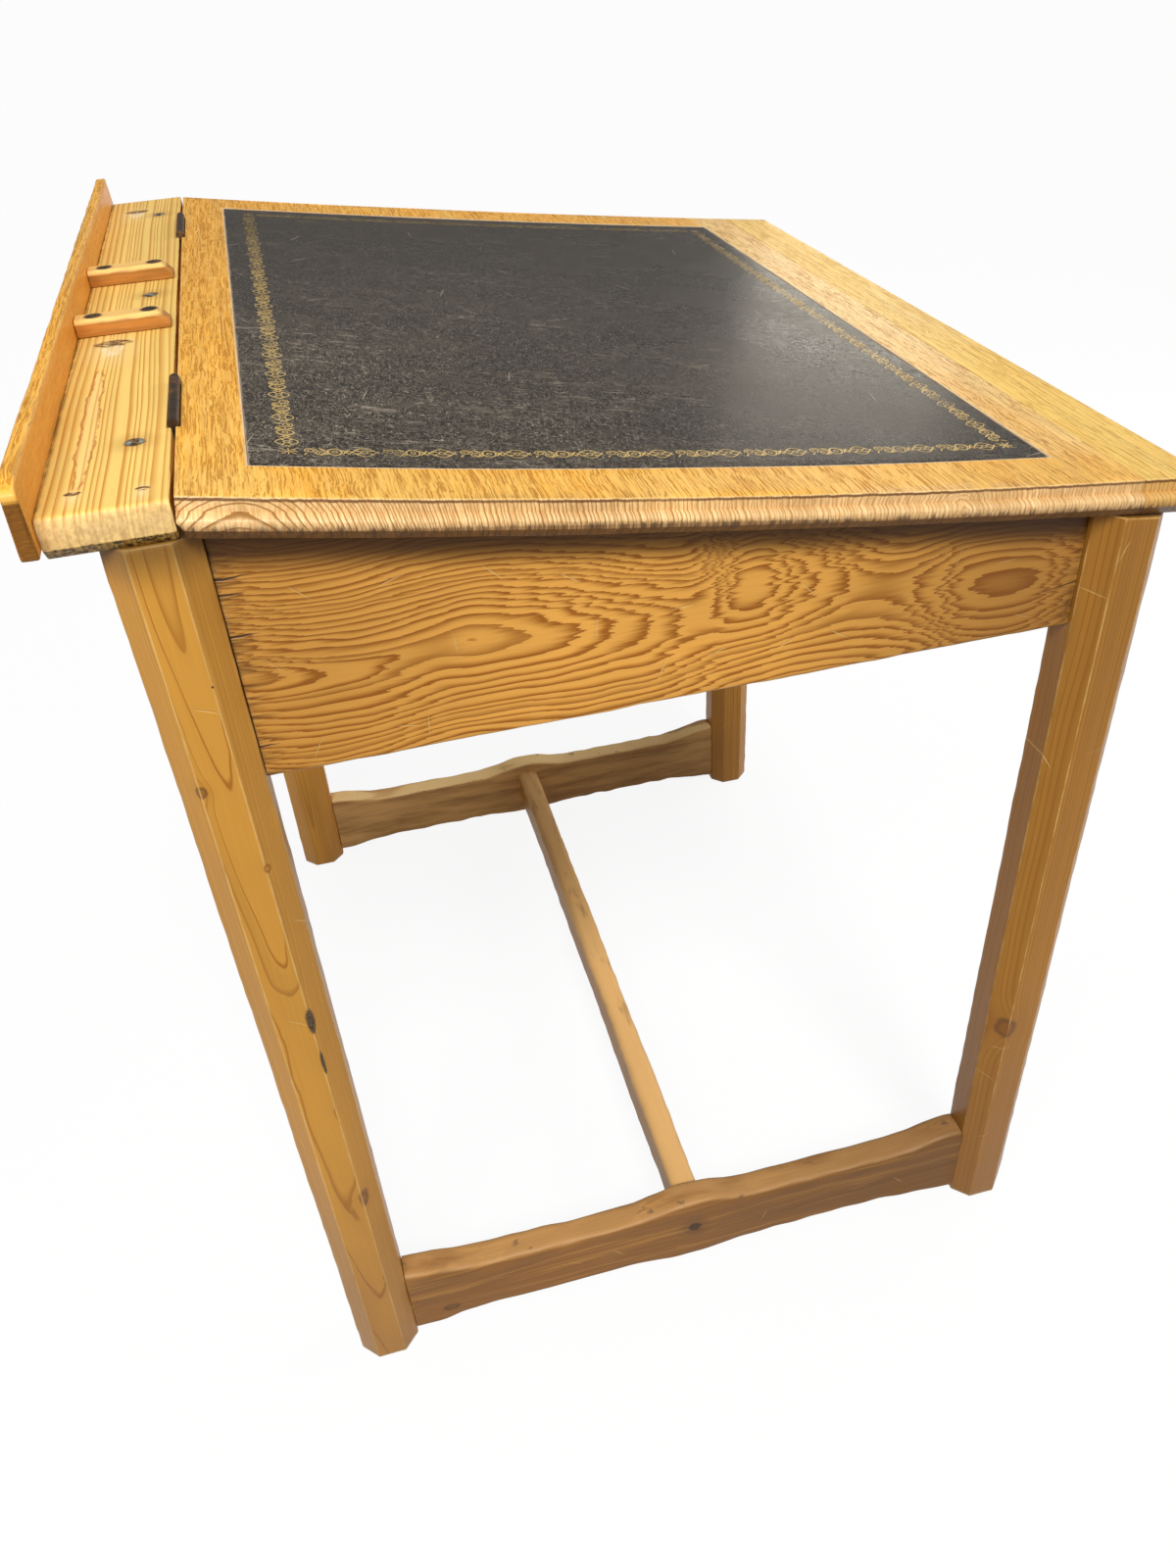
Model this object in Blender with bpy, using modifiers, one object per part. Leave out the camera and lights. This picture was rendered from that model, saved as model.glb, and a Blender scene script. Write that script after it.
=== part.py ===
"""Sloping writing desk on four chamfered legs.

A shallow well is closed by a hinged oak lid with a leather panel. Behind the lid runs a fixed
shelf with a gallery board and two pen rests, and a low H of stretchers ties the legs together.

+X runs along the length of the desk, -Y is the writer's side and +Z is up. The origin is on the
floor, under the middle of the desk. All sizes are in metres and all angles in radians.
"""

import math

import bmesh
import bpy
from mathutils import Matrix, Vector

# Overall plan
DESK_DEPTH = 0.6738          # gallery's back face to the nose of the lid
LEG_SPREAD = 0.7546          # outer face to outer face of the legs, along the desk
SHELF_TOP = 0.8000           # floor to the top of the fixed shelf

# Fits and clearances
SEAT_GAP = 0.0003            # between pieces that rest on, or fit round, each other
LEG_LID_GAP = 0.0010         # least height between the closed lid and the legs or the front apron
CUT_SPARE = 0.0100           # how far an open cutter stands out of the piece it cuts
TENON_ROOT = 0.0060          # how far a tenon's block reaches back into its own rail

# Legs
LEG_SIZE = 0.0500
LEG_CHAMFER = 0.0133
FOOT_EASE = 0.0040           # chamfer round the foot, inwards
FOOT_EASE_RISE = 0.0060      # the same chamfer, upwards
BACK_OVERHANG = 0.0308       # gallery's back face beyond the back legs
FRONT_OVERHANG = 0.0226      # lid's nose beyond the front legs

# Fixed shelf
SHELF_THICK = 0.0220
SHELF_DEPTH = 0.0633
SHELF_INSET = 0.0008         # shelf's top arris inside the legs' outer faces
SHELF_SWELL = 0.0030         # how far its rounded end stands out
SHELF_SWELL_DROP = 0.0090    # top to the fullest part of the end
SHELF_FLAT = 0.0070          # fullest part to the start of the lower chamfer
SHELF_UNDERCUT = 0.0055      # width of the lower chamfer at the end
SHELF_SCREW_LEFT = 0.0869    # legs' outer faces to the left screw
SHELF_SCREW_RIGHT = 0.0733   # legs' outer faces to the right screw
SHELF_SCREW_MIDDLE = 0.0180  # middle of the desk to the middle screw
SHELF_SCREW_BACK = 0.0044     # behind the middle of the back apron
SHELF_SCREW_LENGTH = 0.0450

# Gallery board behind the shelf
GALLERY_THICK = 0.0085
GALLERY_RISE = 0.0228        # above the shelf
GALLERY_DROP = 0.0155        # below the shelf's top
GALLERY_OVERHANG = 0.0117    # beyond the legs' outer faces
GALLERY_ROUND_RUN = 0.0165   # rounded top corner, along the board
GALLERY_ROUND_DROP = 0.0070  # rounded top corner, downwards
GALLERY_SCREW_INSET = 0.1173  # legs' outer faces to the outer screws
GALLERY_SCREW_DROP = 0.0100    # below the shelf's top
GALLERY_SCREW_LENGTH = 0.0300

# Pen rests on the shelf
REST_WIDTH = 0.0185
REST_HEIGHT = 0.0115
REST_X = 0.0675              # middle of the desk to the middle of a rest
REST_SETBACK = 0.0022        # front end behind the shelf's front edge
REST_BEVEL_RUN = 0.0070      # sloped front end, along the rest
REST_BEVEL_DROP = 0.0065     # sloped front end, downwards
REST_SCREW_BACK = 0.0124     # gallery to the back screw
REST_SCREW_FRONT = 0.0490    # gallery to the front screw
REST_SCREW_LENGTH = 0.0260

# Lid
LID_SLOPE = math.radians(8.1)
LID_THICK = 0.0220
LID_INSET = 0.0028           # lid's top arris inside the legs' outer faces
LID_CUP = 0.0045             # hollow of the lid across its depth
LID_JOINT = 0.0024           # open joint between the shelf and the lid
LID_FILLET = 0.0080          # upright part of the moulded edge
NOSE_REACH = 0.0060          # how far the nose stands out below the fillet
NOSE_ROUND = 0.0035          # rounded shoulder of the nose, downwards
NOSE_FLAT = 0.0040           # upright face of the nose
LIPPING_WIDTH = 0.0457       # front board of the lid
LID_STEPS = 14               # flat facets across the cupped lid
LIPPING_STEPS = 2
NOSE_STEPS = 4

# Leather panel
LEATHER_THICK = 0.0012
LEATHER_SET = 0.0002         # below the wood round it
LEATHER_BACK = 0.0364        # lid's back edge to the leather
LEATHER_FRONT = 0.0849       # leather to the lid's front arris
LEATHER_END = 0.0433         # leather to the lid's end arris

# Butt hinges
HINGE_LENGTH = 0.0800
HINGE_LEFT_INSET = 0.1423    # legs' outer faces to the middle of the left hinge
HINGE_RIGHT_INSET = 0.1393   # legs' outer faces to the middle of the right hinge
HINGE_RISE = 0.0015          # axis above the shelf's top
LEAF_THICK = 0.0015
LEAF_DROP = 0.0180           # axis to the lower edge of a leaf
LEAF_CLEARANCE = 0.0006      # between the two closed leaves
BARREL_RADIUS = 0.00325
KNUCKLES = 5
KNUCKLE_GAP = 0.0005
PIN_RADIUS = 0.0015
PIN_CLEARANCE = 0.00008
HOUSING_CLEARANCE = 0.0006   # round the barrel, in the edges of shelf and lid
LEAF_SCREW_PITCH = 0.0270
LEAF_SCREW_DROP = 0.0110     # axis to the screws
LEAF_SCREW_LENGTH = 0.0160
ROUND_STEPS = 24

# Aprons round the well
APRON_THICK = 0.0200
APRON_RECESS = 0.0167        # outer face behind the legs' outer faces
APRON_DROP = 0.1810          # shelf's top to the lower edge of the aprons
APRON_TENON_THICK = 0.0090
APRON_TENON_LENGTH = 0.0160
APRON_TENON_SHOULDER = 0.0120

# Floor of the well
BOARD_THICK = 0.0100
BEARER_WIDTH = 0.0200
BEARER_HEIGHT = 0.0180

# End stretchers and centre rail
STRETCHER_THICK = 0.0260
STRETCHER_TOP = 0.0800       # in the slim stretches
STRETCHER_BOTTOM = 0.0175    # in the slim stretches
STRETCHER_END_RISE = 0.0105  # swelling at the legs, upwards
STRETCHER_END_FALL = 0.0070  # swelling at the legs, downwards
STRETCHER_END_RUN = 0.0700
STRETCHER_MID_RISE = 0.0095  # swelling in the middle, upwards
STRETCHER_MID_FALL = 0.0050  # swelling in the middle, downwards
STRETCHER_MID_RUN = 0.0620
STRETCHER_STEPS = 10         # flat facets of half a swelling
STRETCHER_TENON_THICK = 0.0100
STRETCHER_TENON_LENGTH = 0.0180
STRETCHER_TENON_LOW = 0.0300
STRETCHER_TENON_HIGH = 0.0720
RAIL_THICK = 0.0240
RAIL_BOTTOM = 0.0380
RAIL_TOP = 0.0790
RAIL_ROUND = 0.0065
RAIL_ROUND_STEPS = 5
RAIL_TENON_THICK = 0.0100
RAIL_TENON_LENGTH = 0.0120
RAIL_TENON_SHOULDER = 0.0080
RAIL_SCREW_HEIGHT = 0.0547
RAIL_SCREW_LENGTH = 0.0360

# Countersunk wood screws: head radius, shank radius
LARGE_SCREW = (0.0049, 0.0021)
SMALL_SCREW = (0.0033, 0.0014)
SCREW_RIM = 0.0004           # upright rim of the head
SCREW_SET = 0.0002           # head below the surface
SCREW_TIP = 0.0040           # tapered end
SLOT_WIDTH = 0.0011
SLOT_DEPTH = 0.0009
SLOT_TURN = 0.9              # each slot is turned this much further than the one before
SCREW_STEPS = 16

# Colours
PINE = (0.55, 0.33, 0.14, 1.0)
PALE_PINE = (0.66, 0.45, 0.22, 1.0)
OAK = (0.45, 0.24, 0.09, 1.0)
LEATHER = (0.025, 0.024, 0.024, 1.0)
STEEL = (0.10, 0.09, 0.08, 1.0)
DARK_IRON = (0.09, 0.06, 0.04, 1.0)

# Places that follow from the sizes
BACK_Y = DESK_DEPTH / 2
FRONT_Y = -DESK_DEPTH / 2
END_X = LEG_SPREAD / 2
LEG_X = END_X - LEG_SIZE / 2
BACK_LEG_Y = BACK_Y - BACK_OVERHANG - LEG_SIZE / 2
FRONT_LEG_Y = FRONT_Y + FRONT_OVERHANG + LEG_SIZE / 2
SHELF_BOTTOM = SHELF_TOP - SHELF_THICK
GALLERY_FRONT_Y = BACK_Y - GALLERY_THICK
SHELF_FRONT_Y = GALLERY_FRONT_Y - SEAT_GAP - SHELF_DEPTH
LID_BACK_Y = SHELF_FRONT_Y - LID_JOINT
AXIS_Y = SHELF_FRONT_Y - LID_JOINT / 2
AXIS_Z = SHELF_TOP + HINGE_RISE
LID_X = END_X - LID_INSET
NOSE_TOP = -LID_FILLET - NOSE_ROUND
NOSE_LOW = NOSE_TOP - NOSE_FLAT
LID_REACH = LID_BACK_Y - FRONT_Y - NOSE_TOP * math.sin(LID_SLOPE)
LID_DEPTH = LID_REACH / math.cos(LID_SLOPE) - NOSE_REACH
LIPPING_START = LID_DEPTH - LIPPING_WIDTH
APRON_BOTTOM = SHELF_TOP - APRON_DROP
APRON_X = END_X - APRON_RECESS - APRON_THICK / 2
BACK_APRON_Y = BACK_LEG_Y + LEG_SIZE / 2 - APRON_RECESS - APRON_THICK / 2
FRONT_APRON_Y = FRONT_LEG_Y - LEG_SIZE / 2 + APRON_RECESS + APRON_THICK / 2
WELL_X = APRON_X - APRON_THICK / 2
WELL_BACK_Y = BACK_APRON_Y - APRON_THICK / 2
WELL_FRONT_Y = FRONT_APRON_Y + APRON_THICK / 2
BACK_INNER_Y = BACK_LEG_Y - LEG_SIZE / 2
FRONT_INNER_Y = FRONT_LEG_Y + LEG_SIZE / 2
INNER_X = LEG_X - LEG_SIZE / 2
RAIL_Y = (BACK_LEG_Y + FRONT_LEG_Y) / 2

# Outlines drawn in a side view (y, z) or a front view (x, z), turned upright
SIDE_VIEW = Matrix(((0, 0, 1, 0), (1, 0, 0, 0), (0, 1, 0, 0), (0, 0, 0, 1)))
FRONT_VIEW = Matrix(((1, 0, 0, 0), (0, 0, -1, 0), (0, 1, 0, 0), (0, 0, 0, 1)))


def clear_scene():
    """Remove every object that the scene starts with."""
    for item in list(bpy.data.objects):
        bpy.data.objects.remove(item)


def new_collection(name):
    """Make a collection in the scene."""
    made = bpy.data.collections.new(name)
    bpy.context.scene.collection.children.link(made)
    return made


def material(name, colour, roughness, metallic=0.0):
    """Make a plain material."""
    made = bpy.data.materials.new(name)
    made.use_nodes = True
    shader = made.node_tree.nodes["Principled BSDF"]
    shader.inputs["Base Color"].default_value = colour
    shader.inputs["Roughness"].default_value = roughness
    shader.inputs["Metallic"].default_value = metallic
    made.diffuse_color = colour
    return made


def close_up(mesh):
    """Weld doubled points and face every face outwards."""
    work = bmesh.new()
    work.from_mesh(mesh)
    bmesh.ops.remove_doubles(work, verts=work.verts, dist=0.00001)
    bmesh.ops.recalc_face_normals(work, faces=work.faces)
    work.to_mesh(mesh)
    work.free()


def evaluated(holder, name):
    """Take the finished mesh of a curve or of an object with modifiers, and drop the object."""
    graph = bpy.context.evaluated_depsgraph_get()
    mesh = bpy.data.meshes.new_from_object(holder.evaluated_get(graph))
    mesh.name = name
    bpy.data.objects.remove(holder)
    return mesh


def place(mesh, name, look=None):
    """Put a mesh in the desk, or among the cutters when it has no material."""
    close_up(mesh)
    obj = bpy.data.objects.new(name, mesh)
    if look is None:
        CUTTERS.objects.link(obj)
        obj.hide_render = True
        obj.display_type = "WIRE"
    else:
        DESK.objects.link(obj)
        mesh.materials.clear()
        mesh.materials.append(look)
    return obj


def box(name, low, high, look=None):
    """Make a block between two corners."""
    low = Vector(low)
    size = Vector(high) - low
    work = bmesh.new()
    spread = Matrix.Translation(low + size / 2) @ Matrix.Diagonal((*size, 1.0))
    bmesh.ops.create_cube(work, size=1.0, matrix=spread)
    mesh = bpy.data.meshes.new(name)
    work.to_mesh(mesh)
    work.free()
    return place(mesh, name, look)


def prism(name, outline, start, end, view, look=None):
    """Draw a closed outline in a side or front view and give it depth from start to end."""
    curve = bpy.data.curves.new(name, "CURVE")
    curve.dimensions = "2D"
    curve.fill_mode = "BOTH"
    curve.extrude = (end - start) / 2
    spline = curve.splines.new("POLY")
    spline.points.add(len(outline) - 1)
    for point, (across, up) in zip(spline.points, outline):
        point.co = (across, up, 0.0, 1.0)
    spline.use_cyclic_u = True
    holder = bpy.data.objects.new(name, curve)
    bpy.context.scene.collection.objects.link(holder)
    mesh = evaluated(holder, name)
    bpy.data.curves.remove(curve)
    middle = (start + end) / 2
    depth = Vector((middle, 0.0, 0.0)) if view is SIDE_VIEW else Vector((0.0, middle, 0.0))
    mesh.transform(Matrix.Translation(depth) @ view)
    return place(mesh, name, look)


def turned(name, profile, steps, frame, look=None):
    """Turn a profile of (radius, height) pairs, top to bottom, about its axis.

    A profile that ends where it starts makes a ring."""
    mesh = bpy.data.meshes.new(name)
    points = [(radius, 0.0, height) for radius, height in profile]
    mesh.from_pydata(points, [(i, i + 1) for i in range(len(points) - 1)], [])
    holder = bpy.data.objects.new(name, mesh)
    bpy.context.scene.collection.objects.link(holder)
    turn = holder.modifiers.new("Turn", "SCREW")
    turn.axis = "Z"
    turn.steps = steps
    turn.render_steps = steps
    turn.use_merge_vertices = True
    turn.merge_threshold = 0.00001
    made = evaluated(holder, name)
    bpy.data.meshes.remove(mesh)
    made.transform(frame)
    return place(made, name, look)


def rod(name, radius, start, end, look=None, hole=0.0):
    """Make a round bar, or a tube when it has a hole, along the hinge axis from one x to another."""
    profile = [(hole, end), (radius, end), (radius, start), (hole, start)]
    if hole > 0:
        profile.append(profile[0])
    lie = Matrix.Translation((0.0, AXIS_Y, AXIS_Z)) @ Matrix.Rotation(math.pi / 2, 4, "Y")
    return turned(name, profile, ROUND_STEPS, lie, look)


def loft(name, rings, look=None):
    """Join rings of points, one after the other, and close both ends."""
    work = bmesh.new()
    loops = [[work.verts.new(point) for point in ring] for ring in rings]
    count = len(loops[0])
    for one, two in zip(loops, loops[1:]):
        for i in range(count):
            after = (i + 1) % count
            work.faces.new((one[i], one[after], two[after], two[i]))
    work.faces.new(list(reversed(loops[0])))
    work.faces.new(loops[-1])
    mesh = bpy.data.meshes.new(name)
    work.to_mesh(mesh)
    work.free()
    return place(mesh, name, look)


def boolean(target, tool, operation):
    """Cut a tool out of a piece, or join it to the piece."""
    step = target.modifiers.new(tool.name, "BOOLEAN")
    step.operation = operation
    step.solver = "EXACT"
    step.object = tool


def cut(target, tool):
    """Cut a tool out of a piece."""
    boolean(target, tool, "DIFFERENCE")


def join(target, tool):
    """Join a tool to a piece."""
    boolean(target, tool, "UNION")


def smooth(obj):
    """Shade a round piece smoothly between its sharp edges."""
    for face in obj.data.polygons:
        face.use_smooth = True
    obj.data.set_sharp_from_angle(angle=math.radians(40))


def tenon(rail, leg, low, high):
    """Give a rail a tenon and cut the mortise for it, a seat gap larger all round."""
    label = rail.name + "_in_" + leg.name
    join(rail, box(label, low, high))
    gap = Vector((SEAT_GAP, SEAT_GAP, SEAT_GAP))
    cut(leg, box(label + "_mortise", Vector(low) - gap, Vector(high) + gap))


def screw_profile(size, length, spare, top):
    """Countersunk screw from the head's face at height top down to its point."""
    head, shank = size[0] + spare, size[1] + spare
    end = -length - spare
    neck = -SCREW_RIM - head + shank
    return [(0.0, top), (head, top), (head, -SCREW_RIM), (shank, neck), (shank, end + SCREW_TIP), (0.0, end)]


def screw(name, point, direction, size, length, pieces):
    """Make a slotted screw with its head at a surface point, and bore the pieces it goes through."""
    inward = Vector(direction)
    lie = (-inward).to_track_quat("Z", "Y").to_matrix().to_4x4()
    seat = Matrix.Translation(Vector(point) + inward * SCREW_SET) @ lie
    made = turned(name, screw_profile(size, length, 0.0, 0.0), SCREW_STEPS, seat, IRON)
    turn = Matrix.Rotation(SLOT_TURN * len(SCREWS), 4, "Z")
    half = size[0] + CUT_SPARE
    slot = box(name + "_slot", (-half, -SLOT_WIDTH / 2, -SLOT_DEPTH), (half, SLOT_WIDTH / 2, CUT_SPARE))
    slot.data.transform(seat @ turn)
    cut(made, slot)
    bore = turned(name + "_bore", screw_profile(size, length, SEAT_GAP, CUT_SPARE), SCREW_STEPS, seat)
    for piece in pieces:
        cut(piece, bore)
    smooth(made)
    SCREWS.append(made)
    return made


def cup(along):
    """Hollow of the lid at a distance from its back edge."""
    share = 2 * along / LID_DEPTH - 1
    return LID_CUP * (1 - share * share)


def on_lid(along, up):
    """Side-view place at a distance from the lid's back edge and a height over its top."""
    height = up - cup(along)
    y = LID_BACK_Y - along * math.cos(LID_SLOPE) - height * math.sin(LID_SLOPE)
    z = SHELF_TOP - along * math.sin(LID_SLOPE) + height * math.cos(LID_SLOPE)
    return y, z


def under_lid(y, below):
    """Height of the plane that lies below the lid's uncupped top."""
    return SHELF_TOP - math.tan(LID_SLOPE) * (LID_BACK_Y - y) - below / math.cos(LID_SLOPE)


def clear_of_lid(y):
    """Depth below the lid's uncupped top that stays clear of the cupped lid at a place."""
    return LID_THICK + cup((LID_BACK_Y - y) / math.cos(LID_SLOPE)) + LEG_LID_GAP


def nose_arc():
    """Rounded shoulder of the lid's nose as (reach, height) pairs, from the fillet outwards."""
    pairs = []
    for i in range(NOSE_STEPS + 1):
        turn = math.pi / 2 * i / NOSE_STEPS
        pairs.append((NOSE_REACH * math.sin(turn), -LID_FILLET - NOSE_ROUND * (1 - math.cos(turn))))
    return pairs


def lid_sections():
    """Sections of the moulded lid along the desk as (x, highest, lowest), left to right."""
    ends = []
    for reach, top in nose_arc():
        ends.append((LID_X + reach, top, -LID_THICK + (LID_THICK + NOSE_LOW) * reach / NOSE_REACH))
    ends.insert(0, (LID_X, 0.0, -LID_THICK))
    left = [(-x, top, low) for x, top, low in reversed(ends)]
    return left + ends


def lid_rings(outline):
    """Rings of a lid piece from its full outline of (along, height) pairs, trimmed to each section."""
    rings = []
    for x, top, low in lid_sections():
        rings.append([(x, *on_lid(along, min(max(up, low), top))) for along, up in outline])
    return rings


def spread(start, end, steps):
    """Evenly spaced values from start to end."""
    return [start + (end - start) * i / steps for i in range(steps + 1)]


def lid_strip(start, end, top, low, steps):
    """Side-view outline of a layer that follows the cupped lid."""
    over = [on_lid(along, top) for along in spread(start, end, steps)]
    return over + [on_lid(along, low) for along in spread(end, start, steps)]


def make_legs():
    """Four legs, chamfered all the way up, with eased feet and tops that follow the lid."""
    legs = {}
    for name, x, y in (
        ("leg_back_left", -LEG_X, BACK_LEG_Y),
        ("leg_back_right", LEG_X, BACK_LEG_Y),
        ("leg_front_left", -LEG_X, FRONT_LEG_Y),
        ("leg_front_right", LEG_X, FRONT_LEG_Y),
    ):
        half = LEG_SIZE / 2
        flat = half - LEG_CHAMFER
        corners = [(half, flat), (flat, half), (-flat, half), (-half, flat)]
        corners += [(-half, -flat), (-flat, -half), (flat, -half), (half, -flat)]
        inner = 1 - FOOT_EASE / half
        foot = [(x + a * inner, y + b * inner, 0.0) for a, b in corners]
        rise = [(x + a, y + b, FOOT_EASE_RISE) for a, b in corners]
        if y > 0:
            top = [(x + a, y + b, SHELF_BOTTOM - SEAT_GAP) for a, b in corners]
        else:
            below = clear_of_lid(y + half)
            top = [(x + a, y + b, under_lid(y + b, below)) for a, b in corners]
        legs[name] = loft(name, [foot, rise, top], LEG_WOOD)
    near, far = BACK_INNER_Y - CUT_SPARE, SHELF_FRONT_Y
    below = clear_of_lid(far)
    step = [(near, under_lid(near, below)), (far, under_lid(far, below))]
    step += [(far, SHELF_TOP), (near, SHELF_TOP)]
    notch = prism("leg_notch", step, -END_X - CUT_SPARE, END_X + CUT_SPARE, SIDE_VIEW)
    cut(legs["leg_back_left"], notch)
    cut(legs["leg_back_right"], notch)
    return legs


def make_aprons(legs):
    """Four aprons tenoned into the legs. The lid rests on the end aprons."""
    low_z = APRON_BOTTOM + APRON_TENON_SHOULDER
    half = APRON_TENON_THICK / 2
    rest = LID_THICK + LID_CUP + SEAT_GAP
    front, back = FRONT_INNER_Y + SEAT_GAP, BACK_INNER_Y - SEAT_GAP
    slope = [(front, APRON_BOTTOM), (back, APRON_BOTTOM)]
    slope += [(back, under_lid(back, rest)), (front, under_lid(front, rest))]
    aprons = []
    for name, x in (("apron_left", -APRON_X), ("apron_right", APRON_X)):
        made = prism(name, slope, x - APRON_THICK / 2, x + APRON_THICK / 2, SIDE_VIEW, APRON_WOOD)
        side = name.split("_")[1]
        high_z = under_lid(front - APRON_TENON_LENGTH, rest) - APRON_TENON_SHOULDER
        deep = front - APRON_TENON_LENGTH
        tenon(made, legs["leg_front_" + side], (x - half, deep, low_z), (x + half, front + TENON_ROOT, high_z))
        high_z = under_lid(back - TENON_ROOT, rest) - APRON_TENON_SHOULDER
        deep = back + APRON_TENON_LENGTH
        tenon(made, legs["leg_back_" + side], (x - half, back - TENON_ROOT, low_z), (x + half, deep, high_z))
        aprons.append(made)
    inner = INNER_X - SEAT_GAP
    for name, y, below in (
        ("apron_front", FRONT_APRON_Y, clear_of_lid(WELL_FRONT_Y)),
        ("apron_back", BACK_APRON_Y, None),
    ):
        low, high = y - APRON_THICK / 2, y + APRON_THICK / 2
        if below is None:
            tops = (SHELF_BOTTOM - SEAT_GAP, SHELF_BOTTOM - SEAT_GAP)
        else:
            tops = (under_lid(high, below), under_lid(low, below))
        outline = [(low, APRON_BOTTOM), (high, APRON_BOTTOM), (high, tops[0]), (low, tops[1])]
        made = prism(name, outline, -inner, inner, SIDE_VIEW, APRON_WOOD)
        high_z = min(tops) - APRON_TENON_SHOULDER
        end = name.replace("apron", "leg")
        for side, sign in (("_left", -1), ("_right", 1)):
            xs = sorted((sign * (inner - TENON_ROOT), sign * (inner + APRON_TENON_LENGTH)))
            tenon(made, legs[end + side], (xs[0], y - half, low_z), (xs[1], y + half, high_z))
        aprons.append(made)
    return aprons


def make_well_floor():
    """Three boards on two bearers. The outer boards are notched round the legs."""
    top = APRON_BOTTOM + BEARER_HEIGHT
    for name, sign in (("bearer_left", -1), ("bearer_right", 1)):
        xs = sorted((sign * (WELL_X - SEAT_GAP), sign * (WELL_X - SEAT_GAP - BEARER_WIDTH)))
        low = (xs[0], FRONT_INNER_Y + SEAT_GAP, APRON_BOTTOM)
        box(name, low, (xs[1], BACK_INNER_Y - SEAT_GAP, top), ROUGH_WOOD)
    edges = spread(WELL_FRONT_Y, WELL_BACK_Y, 3)
    half = WELL_X - SEAT_GAP
    for name, start, end in zip(("front", "middle", "back"), edges, edges[1:]):
        low = (-half, start + SEAT_GAP / 2, top + SEAT_GAP)
        high = (half, end - SEAT_GAP / 2, top + SEAT_GAP + BOARD_THICK)
        made = box("well_board_" + name, low, high, ROUGH_WOOD)
        if name == "middle":
            continue
        clear = LEG_SIZE / 2 + SEAT_GAP
        y = FRONT_LEG_Y if name == "front" else BACK_LEG_Y
        for side, x in (("left", -LEG_X), ("right", LEG_X)):
            low = (x - clear, y - clear, top - CUT_SPARE)
            high = (x + clear, y + clear, top + BOARD_THICK + CUT_SPARE)
            cut(made, box("notch_" + name + "_" + side, low, high))


def make_shelf():
    """Fixed shelf with rounded ends, and the gallery board behind it."""
    end = END_X - SHELF_INSET
    full = SHELF_TOP - SHELF_SWELL_DROP
    low = full - SHELF_FLAT
    side = []
    for i in range(NOSE_STEPS + 1):
        turn = math.pi / 2 * i / NOSE_STEPS
        side.append((end + SHELF_SWELL * math.sin(turn), full + SHELF_SWELL_DROP * math.cos(turn)))
    side += [(end + SHELF_SWELL, low), (end + SHELF_SWELL - SHELF_UNDERCUT, SHELF_BOTTOM)]
    outline = side + [(-x, z) for x, z in reversed(side)]
    back = GALLERY_FRONT_Y - SEAT_GAP
    shelf = prism("shelf", outline, SHELF_FRONT_Y, back, FRONT_VIEW, SHELF_WOOD)
    end = END_X + GALLERY_OVERHANG
    top = SHELF_TOP + GALLERY_RISE
    side = []
    for i in range(NOSE_STEPS + 1):
        turn = math.pi / 2 * i / NOSE_STEPS
        x = end - GALLERY_ROUND_RUN * (1 - math.sin(turn))
        side.append((x, top - GALLERY_ROUND_DROP * (1 - math.cos(turn))))
    side.append((end, SHELF_TOP - GALLERY_DROP))
    outline = side + [(-x, z) for x, z in reversed(side)]
    gallery = prism("gallery", outline, GALLERY_FRONT_Y, BACK_Y, FRONT_VIEW, OAK_WOOD)
    return shelf, gallery


def make_pen_rests(shelf):
    """Two strips across the shelf that keep the pens apart, each held by two screws."""
    back = GALLERY_FRONT_Y - SEAT_GAP
    front = SHELF_FRONT_Y + REST_SETBACK
    low = SHELF_TOP + SEAT_GAP
    top = SHELF_TOP + REST_HEIGHT
    outline = [(back, low), (back, top), (front + REST_BEVEL_RUN, top), (front, top - REST_BEVEL_DROP), (front, low)]
    for side, x in (("left", -REST_X), ("right", REST_X)):
        rest = prism("pen_rest_" + side, outline, x - REST_WIDTH / 2, x + REST_WIDTH / 2, SIDE_VIEW, REST_WOOD)
        for end, away in (("back", REST_SCREW_BACK), ("front", REST_SCREW_FRONT)):
            point = (x, GALLERY_FRONT_Y - away, top)
            label = "pen_rest_screw_" + side + "_" + end
            screw(label, point, (0, 0, -1), LARGE_SCREW, REST_SCREW_LENGTH, (rest, shelf))


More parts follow.
